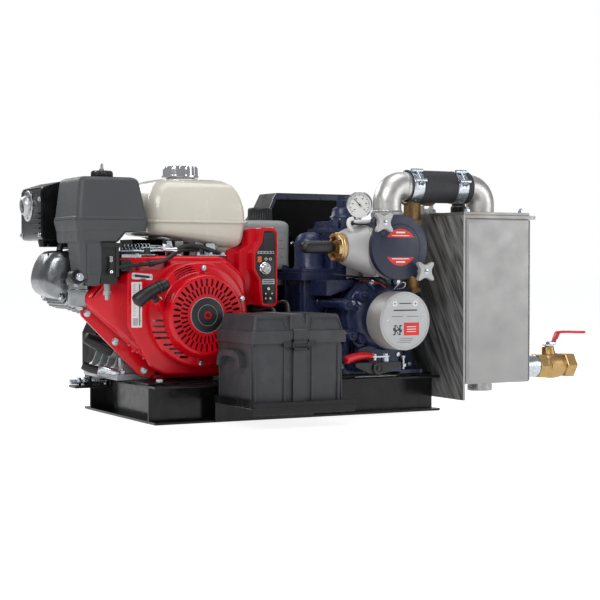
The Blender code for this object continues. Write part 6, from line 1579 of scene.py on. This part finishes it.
def make_filter():
    low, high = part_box("filter_lid")
    x, z, front = (low.x + high.x) / 2, (low.z + high.z) / 2, low.y
    r, back = 0.068, high.y
    housing = Solid("pale")
    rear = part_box("filter_housing")[1].y
    housing.turned([(0, 0), (0.0385, 0), (0.04, 0.0015), (0.044, 0.022), (0.056, 0.076), (0.0605, 0.094),
                    (0.062, 0.106), (0.0622, 0.16), (0.065, 0.166), (0.0672, 0.169), (0.0672, 0.185),
                    (0.0572, 0.185), (0.0572, 0.1), (0.035, 0.008), (0, 0.008)], (x, rear, z), FRONT, 96)
    branch = []
    for d, r_at in ((0, 0.0605), (0.01, 0.0585), (0.03, 0.0515), (0.05, 0.044), (0.066, 0.038),
                    (0.0725, 0.035), (0.076, 0.0335), (0.0765, 0.031)):
        branch.append([(0.165 - d, max(front + 0.018, -0.195 + r_at * cos(a)), z + r_at * sin(a))
                       for a in angles(72)])
    housing.loft(branch)
    housing.turned([(0, 0), (0.033, 0), (0.033, 0.023), (0.0345, 0.026), (0.0345, 0.033), (0, 0.033)],
                   (PUMP_LEG, LINE_Y, 0.3905), UP, 48)
    housing.box((x - 0.02, -0.12, 0.283), (x + 0.02, -0.07, 0.312))
    for px in (x - 0.03, x + 0.03):
        housing.prism([(px - 0.003, 0.298), (px + 0.003, 0.298), (px + 0.003, 0.2885), (px - 0.003, 0.2885)],
                      -0.22, -0.165)
    hook = along([(0.12, -0.211, 0.385), (0.108, -0.214, 0.383), (0.0985, -0.216, 0.39),
                  (0.094, -0.216, 0.399), (0.0975, -0.216, 0.407), (0.105, -0.217, 0.409)], 0.003)
    housing.use("white").tube(hook, 0.0046, 16)
    housing.tube([(0.104, -0.223, 0.4035), (0.15, -0.223, 0.4042)], 0.0034, 16)
    # the thin black rod just under the white bar is a painted shadow line
    housing.use("plastic").tube([(0.105, -0.224, 0.3972), (0.15, -0.224, 0.3974)], 0.0016, 10)
    housing.piece("filter_bowl", "skid", ["filter_housing"], "cast_aluminium", 0.0008, angle=34)

    lid = Solid("navy_smooth")
    lid.turned([(0, 0), (r - 0.001, 0), (r, 0.001), (r, 0.012), (r - 0.0012, 0.0138), (r - 0.004, 0.0145),
                (0.05, 0.0145), (0.0485, 0.0148), (0.0475, 0.0158), (0.046, 0.0162), (0, 0.0162)],
               (x, back, z), FRONT, 96)
    arm = 0.0707 / sqrt(2)
    for sx, sz in ((-1, 1), (1, -1)):
        ear = (x + sx * arm, z + sz * arm)
        side = Vector((1, 1)).normalized()
        inner = (x + sx * 0.032, z + sz * 0.032)
        w = 0.0135
        lid.prism([(inner[0] - side.x * w, inner[1] - side.y * w),
                   (inner[0] + side.x * w, inner[1] + side.y * w),
                   (ear[0] + side.x * w, ear[1] + side.y * w), (ear[0] - side.x * w, ear[1] - side.y * w)],
                  back - 0.0159, back)
        lid.cap(0.014, 0.0152, 0.013, 0.016, (ear[0], back, ear[1]), FRONT, 36)
        lid.use("zinc").rod((ear[0] + sx * 0.002, back + 0.03, ear[1] + sz * 0.002),
                            (ear[0], back - 0.002, ear[1]), 0.0042, sides=18)
        lid.use("navy_smooth")
        lid.prism(rounded([(ear[0] - sx * 0.016, ear[1] - sz * 0.004),
                           (ear[0] - sx * 0.004, ear[1] - sz * 0.016),
                           (ear[0] + sx * 0.008, ear[1] - sz * 0.004),
                           (ear[0] - sx * 0.004, ear[1] + sz * 0.008)], 0.002), back + 0.003, back + 0.02)
    face = back - 0.0162
    for sign in (1, -1):                                 # two plain red segments with a white line
        reach, chord = 0.0385, 0.0205
        half = acos(chord / reach)
        segment = [(x + reach * cos(pi / 2 + half * (2 * k / 20 - 1)),
                    z + sign * reach * sin(pi / 2 + half * (2 * k / 20 - 1))) for k in range(21)]
        lid.use("label_red").prism(segment, face - 0.0003, face + 0.0004)
        lid.use("white").box((x - 0.021, face - 0.0004, z + sign * 0.024 - 0.0009),
                             (x + 0.021, face, z + sign * 0.024 + 0.0009))
        lid.box((x - 0.011, face - 0.0004, z + sign * 0.0305 - 0.0016),
                (x + 0.011, face, z + sign * 0.0305 + 0.0016))
    lid.piece("filter_cover", "skid", ["filter_lid"], "navy_paint", 0.0008, angle=34)

    for name, sx, sz in (("upper", -1, 1), ("lower", 1, -1)):
        kx, kz = x + sx * arm, z + sz * arm
        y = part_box(name + "_star_knob")[1].y
        knob = Solid("pale")
        knob.cap(0.009, 0.008, 0.012, 0.0115, (kx, y, kz), FRONT, 32)
        outline = star_outline(kx, kz, 0.0262, 0.0135)
        knob.loft([[(kx + (px - kx) * s, yy, kz + (pz - kz) * s) for px, pz in outline] for yy,
                   s in ((y - 0.01, 0.93), (y - 0.0112, 0.985), (y - 0.013, 1.0), (y - 0.0185, 1.0),
                         (y - 0.0205, 0.975), (y - 0.0215, 0.91))])
        knob.use("zinc").cap(0.0052, 0.001, 0.0035, 0.0016, (kx, y - 0.0212, kz), FRONT, 24)
        knob.use("ink").box((kx - 0.0038, y - 0.023, kz - 0.0008), (kx + 0.0038, y - 0.0226, kz + 0.0008))
        knob.piece(name + "_star_handle", name + "_star_knob", [name + "_star_knob"], "cast_aluminium", 0)

    y, end = -0.195, 0.0882
    brass = Solid("bright_brass")                        # relief ring with its notched rim
    brass.turned([(0.014, 0), (0.0298, 0), (0.0305, 0.0008), (0.0305, 0.0062), (0.0296, 0.0072),
                  (0.0296, 0.0084), (0.0304, 0.0094), (0.0304, 0.0112), (0.029, 0.0124), (0.0286, 0.0132),
                  (0.0286, 0.0175), (0.0276, 0.0185), (0.0226, 0.0185), (0.0226, 0.0062), (0.014, 0.0062)],
                 (end, y, z), LEFT, 72)
    notches = Solid("bright_brass")
    for k in range(6):
        turn = Matrix.Translation((end, y, z)) @ Matrix.Rotation(radians(60 * k + 10), 4, "X")
        notches.box((-0.02, -0.0058, 0.018), (-0.0128, 0.0058, 0.04), turn)
    brass.piece("relief_ring", "skid", ["relief_valve_body"], "brass", 0.0004, cuts=notches)
    brass = Solid("bronze")
    brass.turned([(0, 0), (0.02, 0), (0.02, 0.002), (0.012, 0.004), (0.012, 0.011), (0, 0.011)],
                 (end - 0.0066, y, z), LEFT, 40)
    brass.piece("relief_spring_seat", "skid", (), "brass", 0)

    kl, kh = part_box("relief_knob")
    long = kh.x - kl.x
    knob = Solid("plastic")
    knob.turned([(0, 0), (0.0095, 0), (0.01, 0.005), (0.0105, 0.006), (0.0124, 0.008), (0.0128, 0.0095),
                 (0.0128, long - 0.012), (0.012, long - 0.0075), (0.0098, long - 0.0035),
                 (0.006, long - 0.0005), (0, long)], (kh.x, y, z), LEFT, 56)
    for h in (0.013, 0.0175):
        knob.turned([(0.0126, h), (0.0132, h + 0.0005), (0.0132, h + 0.002), (0.0126, h + 0.0025)],
                    (kh.x, y, z), LEFT, 56)
    knob.piece("relief_adjuster", "relief_knob", ["relief_knob"], "black_plastic", 0)

    gx, gz, rear, stem_y = 0.123, 0.438, -0.204, -0.21
    gauge = Solid("chrome")
    gauge.turned([(0, 0), (0.0225, 0), (0.0245, 0.0015), (0.025, 0.011), (0.0266, 0.0125), (0.0275, 0.0145),
                  (0.0275, 0.0165), (0.0265, 0.0178), (0.0253, 0.018), (0.0242, 0.0165), (0.024, 0.0118),
                  (0, 0.0118)], (gx, rear, gz), FRONT, 72)
    gauge.rod((gx, stem_y, 0.398), (gx, stem_y, 0.414), 0.0048, sides=24)
    gauge.disc(0.0072, 0.007, (gx, stem_y, 0.399), UP, 6)
    dial = rear - 0.0118
    gauge.use("white").disc(0.0239, 0.0002, (gx, dial, gz), FRONT, 64)
    gauge.use("ink")
    for k in range(51):
        a = radians(225 - 270 * k / 50)
        inner = 0.0195 if k % 5 else 0.0175
        side = 0.00022 if k % 5 else 0.00045
        way, across = Vector((cos(a), sin(a))), Vector((-sin(a), cos(a)))
        ends = [way * inner - across * side, way * 0.0215 - across * side, way * 0.0215 + across * side,
                way * inner + across * side]
        gauge.prism([(gx + p.x, gz + p.y) for p in ends], dial - 0.00035, dial - 0.0001)
    for k in range(6):                                   # small plain blocks where a scale has its figures
        a = radians(225 - 54 * k)
        gauge.box((gx + 0.014 * cos(a) - 0.0016, dial - 0.00035, gz + 0.014 * sin(a) - 0.001),
                  (gx + 0.014 * cos(a) + 0.0016, dial - 0.0001, gz + 0.014 * sin(a) + 0.001))
    case = gauge.piece("vacuum_gauge", "skid", ["gauge_case"], "chrome", 0)
    case.data.transform(Matrix.Translation((gx, stem_y, 0)) @ Matrix.Rotation(radians(-24), 4, "Z")
                        @ Matrix.Translation((-gx, -stem_y, 0)))


# ---------------------------------------------------------------- suction line


def bend_path(leg_x, leg_low, way, reach):
    """The centre line of an elbow that rises from a leg and turns along X."""
    points = [(leg_x, LINE_Y, leg_low), (leg_x, LINE_Y, LINE_Z - BEND - 0.001)]
    for k in range(1, 17):
        a = radians(90 * k / 16)
        points.append((leg_x + way * BEND * (1 - cos(a)), LINE_Y, LINE_Z - BEND + BEND * sin(a)))
    return points + [(leg_x + way * (BEND + reach), LINE_Y, LINE_Z)]


def bead(solid, at, radius, direction, size=0.0016):
    """A weld bead: a ring with a slightly uneven, scaly surface."""
    turn = facing(at, direction)
    path = [turn @ Vector((radius * cos(a), radius * sin(a), 0)) for a in angles(96)]
    return solid.tube(path, [size * (0.85 + 0.25 * (k % 3)) for k in range(96)], 8, closed=True)


def make_suction():
    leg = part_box("inlet_elbow")[0]
    elbow = Solid("pipe")
    path = bend_path(PUMP_LEG, leg.z, 1, 0.055)
    elbow.tube(path, PIPE, 56)
    bead(elbow, (PUMP_LEG, LINE_Y, leg.z + 0.0015), PIPE + 0.0003, UP)
    bead(elbow, (PUMP_LEG + BEND + 0.0015, LINE_Y, LINE_Z), PIPE, RIGHT, 0.001)
    elbow.piece("suction_elbow", "skid", ["inlet_elbow"], "stainless", 0)

    hose = Solid("rubber")
    outer, inner = 0.0345, PIPE + 0.0004
    first, last = 0.2405, 0.394
    profile = [(inner, first + 0.001), (outer - 0.0012, first), (outer - 0.0002, first + 0.001)]
    for k in range(25):                                  # pinched under each clamp, full between them
        h = first + 0.002 + (last - first - 0.004) * k / 24
        pinch = sum(exp(-((h - c) / 0.01) ** 2) for c in CLAMPS)
        profile.append((outer - 0.0011 * min(1.0, pinch), h))
    profile += [(outer - 0.0002, last - 0.001), (outer - 0.0012, last), (inner, last - 0.001)]
    hose.turned(profile, (0, LINE_Y, LINE_Z), RIGHT, 72)
    hose.piece("rubber_hose", "skid", ["suction_hose"], "rubber", 0)

    for name, x, tip in zip(("left", "right"), CLAMPS, ("bright_brass", "zinc")):
        clamp = Solid("zinc")
        half, band = 0.0125, 0.0338
        clamp.turned([(band, -half), (band + 0.0014, -half - 0.0003), (band + 0.0016, -half + 0.001),
                      (band + 0.0012, 0), (band + 0.0016, half - 0.001), (band + 0.0014, half + 0.0003),
                      (band, half)], (x, LINE_Y, LINE_Z), RIGHT, 72)

        def around(angle, r, dx=0.0):
            a = radians(angle)
            return Vector((x + dx, LINE_Y - r * cos(a), LINE_Z + r * sin(a)))
        low, high = around(16, 0.0402), around(56, 0.0394)
        for at, back in ((low, 6), (high, 66)):
            clamp.rod(at - Vector((half + 0.001, 0, 0)), at + Vector((half + 0.001, 0, 0)), 0.004, sides=24)
            for dx in (-0.0075, 0.0075):                 # straps that hold each trunnion to the band
                side = [at + Vector((dx, 0, 0)), around(back, 0.0362, dx),
                        around(back + (-8 if back < 30 else 8), 0.0352, dx)]
                clamp.strip(side, RIGHT, 0.0055, 0.0022)
        way = (high - low).normalized()
        clamp.rod(low - way * 0.01, high + way * 0.002, 0.0027, sides=20)
        clamp.cap(0.0055, 0.004, 0.0048, 0.0046, low - way * 0.0095, way, 6)
        for k in range(5):
            clamp.turned([(0.0026, 0), (0.0031, 0.0004), (0.0026, 0.0008)],
                         high - way * (0.005 + 0.0022 * k), way, 16)
        clamp.use(tip).rod(high + way * 0.0015, high + way * 0.0042, 0.0024, sides=18)
        for angle in (150, 200, 250, 300):               # spot welds
            p = around(angle, band + 0.0012)
            clamp.use("zinc").ball(p, 0.0016, 0.5, p - Vector((x, LINE_Y, LINE_Z)), 12)
        clamp.piece("hose_clamp_" + name, "skid", (), "steel", 0.0003)

    low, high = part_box("brass_tee")
    y, run = -0.14, 0.462
    tee = Solid("bronze")
    tee.turned([(0, 0), (0.016, 0), (0.0185, 0.0015), (0.02, 0.004), (0.02, 0.016), (0.0185, 0.018),
                (0.018, 0.05), (0.019, 0.054), (0.02, 0.056), (0.02, 0.07), (0.018, 0.0745), (0.012, 0.077),
                (0, 0.077)], (low.x, y, run), RIGHT, 48)
    tee.turned([(0, 0), (0.0175, 0), (0.0175, 0.156), (0.0185, 0.159), (0.0185, 0.206), (0, 0.206)],
               (0.297, y, low.z), UP, 48)
    tee.turned([(0, 0), (0.0225, 0), (0.024, 0.0012), (0.024, 0.0118), (0.0225, 0.013), (0, 0.013)],
               (0.297, y, 0.3975), UP, 6)
    tee.turned([(0, 0), (0.0205, 0), (0.0215, 0.001), (0.0215, 0.009), (0.0205, 0.01), (0, 0.01)],
               (0.297, y, low.z + 0.002), UP, 6)
    tee.piece("bronze_tee", "skid", ["brass_tee"], "brass", 0, angle=40)


# ---------------------------------------------------------------- moisture trap
def make_trap():
    low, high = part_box("trap_box")
    plate_x, wall_x, right, front, back = low.x, low.x + 0.005, 0.503, low.y, -0.057
    floor, rim = 0.062, 0.412
    plate = Solid("streaked")
    plate.box((plate_x, front + 0.0012, low.z), (wall_x, high.y, high.z))
    plate.use("stainless").box((plate_x, front, low.z), (wall_x, front + 0.0013, high.z))
    plate.box((plate_x, high.y - 0.0002, low.z), (wall_x, high.y + 0.0003, high.z))
    plate.use("zinc")
    for z in (0.06, 0.2, 0.385):
        plate.bolt((plate_x + 0.0048, -0.052, z), RIGHT, 0.01, 0.005)
    plate.piece("trap_mounting_plate", "skid", (), "stainless", 0.0008)

    box = Solid("stainless")

    def shell(x0, x1, y0, y1, z, r):
        return [(px, py, z) for px, py in oblong(x0, x1, y0, y1, r, 5)]

    outer = [shell(wall_x + 0.0002, right, front, back, z, 0.0035) for z in (rim, floor)]
    inner = [shell(wall_x + 0.003, right - 0.003, front + 0.003, back - 0.003, z, 0.0015)
             for z in (floor + 0.003, rim)]
    box.loft(outer + inner)
    rect = [(wall_x - 0.0005, front), (right + 0.017, front), (right + 0.017, back), (wall_x - 0.0005, back)]
    hole = [(wall_x + 0.003, front + 0.003), (right - 0.003, front + 0.003), (right - 0.003, back - 0.003),
            (wall_x + 0.003, back - 0.003)]
    box.panel([rounded(rect, [0.001, 0.006, 0.006, 0.001], 4), hole], rim - 0.001, high.z, "Z")
    for x in (wall_x + 0.0022, right - 0.001):           # seams down the corners and under the flange
        box.tube([(x, front - 0.0001, floor + 0.003 + 0.004 * k) for k in range(87)],
                 [0.0011 + 0.0003 * (k % 2) for k in range(87)], 8)
    box.tube([(wall_x + 0.004 + 0.004 * k, front - 0.0001, rim - 0.0025) for k in range(40)],
             [0.0012 + 0.0003 * (k % 2) for k in range(40)], 8)
    box.tube([(right + 0.0003, front + 0.004 + 0.004 * k, rim - 0.002) for k in range(56)], 0.0014, 8)
    box.slab((wall_x + 0.008, floor + 0.008), (right - 0.006, rim - 0.009), 0.003, front - 0.00035,
             front + 0.001)
    box.use("machined").turned([(0.0235, 0), (0.0258, 0), (0.027, 0.0012), (0.027, 0.023), (0.0235, 0.023)],
                               (TRAP_LEG, LINE_Y, 0.04), UP, 64)
    for k in range(6):
        box.turned([(0.0268, 0), (0.0275, 0.0008), (0.0268, 0.0016)],
                   (TRAP_LEG, LINE_Y, 0.0425 + 0.0026 * k), UP, 64)
    bead(box, (TRAP_LEG, LINE_Y, 0.0615), 0.0275, UP, 0.0015)
    box.use("zinc").turned([(0.02, -0.002), (0.0265, -0.002), (0.0272, 0.001), (0.0272, 0.017),
                            (0.0262, 0.0185), (0.0238, 0.0195), (0.0238, 0.0525), (0.02, 0.0525)],
                           (right, DRAIN_Y, DRAIN_Z), RIGHT, 56)
    for k in range(5):
        box.turned([(0.0236, 0), (0.0243, 0.0008), (0.0236, 0.0016)],
                   (right + 0.026 + 0.0045 * k, DRAIN_Y, DRAIN_Z), RIGHT, 48)
    box.piece("trap_vessel", "skid", ["trap_box"], "stainless", 0.0004)

    lid = Solid("stainless")
    bottom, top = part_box("trap_lid")[0].z, 0.425
    lid.prism(rounded([(plate_x + 0.001, front), (right, front), (right, back), (plate_x + 0.001, back)],
                      [0.001, 0.004, 0.004, 0.001], 4), bottom, top, "Z")
    lid.use("pipe").tube(bend_path(TRAP_LEG, top - 0.001, -1, 0.05), PIPE, 56)
    bead(lid, (TRAP_LEG, LINE_Y, top + 0.0008), PIPE + 0.0005, UP, 0.0018)
    bead(lid, (TRAP_LEG - BEND - 0.0015, LINE_Y, LINE_Z), PIPE, RIGHT, 0.001)
    lid.use("zinc")
    for bx in (0.35, 0.489):
        for by in (front + 0.014, back - 0.014):
            lid.bolt((bx, by, top - 0.0002), UP, 0.0115, 0.0068, stud=0.004)
    lid.piece("trap_cover", "skid", ["trap_lid"], "stainless", 0.0005)
    gasket = Solid("bronze")
    gasket.prism([(wall_x, front), (right - 0.0005, front), (right - 0.0005, back), (wall_x, back)],
                 high.z - 0.0006, bottom + 0.0006, "Z")
    gasket.piece("trap_gasket", "skid", (), "rubber", 0)

    bits = Solid("white")                                # angle bracket and plug behind the elbow
    bits.prism([(plate_x + 0.002, 0.4252), (plate_x + 0.002, 0.444), (plate_x + 0.005, 0.444),
                (plate_x + 0.005, 0.4285), (plate_x + 0.052, 0.4285), (plate_x + 0.052, 0.4252)], -0.128,
               -0.096)
    bits.prism([(plate_x + 0.01, 0.4284), (plate_x + 0.046, 0.4284), (plate_x + 0.046, 0.446),
                (plate_x + 0.038, 0.446), (plate_x + 0.032, 0.438), (plate_x + 0.01, 0.438)], -0.101, -0.098)
    bits.use("zinc").bolt((plate_x + 0.036, -0.115, 0.4284), UP, 0.011, 0.007, stud=0.003)
    bits.use("plastic").turned([(0, 0), (0.0175, 0), (0.0175, 0.016), (0.015, 0.019), (0.015, 0.0255),
                                (0.013, 0.027), (0, 0.027)], (0.419, -0.138, top - 0.0003), UP, 40)
    bits.piece("trap_lid_fittings", "skid", (), "stainless", 0.0004)


def make_ball_valve():
    low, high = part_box("ball_valve_body")
    y, z, bore = DRAIN_Y, DRAIN_Z, 0.0165
    stem = 0.596
    body = Solid("brass")

    def ringed(profile, sides):
        body.turned([(bore + 0.0004, profile[0][1])] + profile + [(bore + 0.0004, profile[-1][1])],
                    (0, y, z), RIGHT, sides)

    ringed([(0.0262, low.x), (0.029, low.x + 0.0022), (0.029, low.x + 0.019), (0.0262, low.x + 0.0212)], 6)
    ringed([(0.0246, low.x), (0.025, low.x + 0.001), (0.025, low.x + 0.022)], 48)
    belly = [(0.0235, low.x + 0.0205)]
    for k in range(13):
        a = pi * k / 12
        belly.append((0.025 + 0.0035 * sin(a) ** 0.7, 0.5785 + 0.044 * k / 12))
    belly.append((0.0222, 0.6245))
    ringed(belly, 72)
    ringed([(0.0222, 0.622), (0.0222, 0.629)], 48)
    ringed([(0.0262, 0.6285), (0.029, 0.631), (0.029, high.x - 0.0024), (0.0262, high.x - 0.0002)], 6)
    ringed([(0.0225, 0.65), (0.0225, high.x), (0.019, high.x)], 48)
    body.turned([(0.014, -0.002), (0.013, 0.002), (0.0112, 0.008), (0.0112, 0.0145), (0.0062, 0.0145),
                 (0.0062, -0.002)], (stem, y, z + 0.027), UP, 40)
    body.turned([(0.0062, 0), (0.0108, 0), (0.0116, 0.0008), (0.0116, 0.004), (0.0106, 0.0048),
                 (0.0062, 0.0048)], (stem, y, z + 0.0382), UP, 6)
    for side in (-1, 1):                                 # lever stops
        body.box((stem - 0.015, y + side * 0.006 - 0.0022, z + 0.024),
                 (stem - 0.0105, y + side * 0.006 + 0.0022, z + 0.041))
    # cast boss, plain
    body.box((stem - 0.012, y - 0.0288, z - 0.004), (stem + 0.012, y - 0.0272, z + 0.004))
    body.piece("drain_valve_casting", "skid", ["ball_valve_body"], "brass", 0.0006)

    base, tread = z + 0.0435, z + 0.072
    lever = Solid("zinc")
    half = 0.0085
    lever.strip([(stem - 0.014, y, base + 0.0015), (stem + 0.0085, y, base + 0.0015),
                 (stem + 0.011, y, base + 0.0028), (stem + 0.016, y, base + 0.015)], BACK, 2 * half - 0.001,
                0.0028)
    lever.turned([(0, 0), (0.0075, 0), (0.0086, 0.0006), (0.0086, 0.005), (0.0078, 0.0058), (0, 0.0058)],
                 (stem, y, base + 0.003), UP, 6)
    lever.hoop(0.0052, 0.0095, 0, 0.001, (stem, y, base + 0.0028), UP, 24)
    sleeve = [(stem + 0.013, base + 0.0085), (stem + 0.015, base + 0.0135), (stem + 0.0205, tread - 0.003),
              (stem + 0.0225, tread - 0.0005), (stem + 0.026, tread + 0.0012),
              (stem + 0.045, tread + 0.0016), (stem + 0.07, tread + 0.0004), (stem + 0.088, tread - 0.0002),
              (stem + 0.094, tread - 0.0003), (stem + 0.0963, tread - 0.0003)]
    rings = []
    for k, (px, pz) in enumerate(sleeve):
        ahead, behind = sleeve[min(k + 1, len(sleeve) - 1)], sleeve[max(k - 1, 0)]
        way = Vector((ahead[0] - behind[0], ahead[1] - behind[1])).normalized()
        across = Vector((-way.y, way.x))
        w, t = (half, 0.0031) if k < len(sleeve) - 1 else (half * 0.72, 0.0018)
        w = w * (0.94 if k < 2 else 1.0)
        ring_points = []
        for j in range(24):
            a = 2 * pi * j / 24
            cy, ct = copysign(abs(cos(a)) ** 0.45, cos(a)), copysign(abs(sin(a)) ** 0.7, sin(a))
            ring_points.append((px + across.x * t * ct, y + w * cy, pz + across.y * t * ct))
        rings.append(ring_points)
    lever.use("vinyl").loft(rings)
    lever.piece("drain_lever", "drain_valve", ["ball_valve_lever"], "red_grip", 0.0002, angle=45)


# ---------------------------------------------------------------- the whole object
make_air_cleaner()
make_carburettor()
make_tank()
make_exhaust()
make_top_end()
make_block()
make_shroud()
make_recoil()
make_linkage()
make_control_box()
make_battery_box()
make_oil_tank()
make_guard_trim()
make_skid_details()
make_pump()
make_canister()
make_filter()
make_suction()
make_trap()
make_ball_valve()
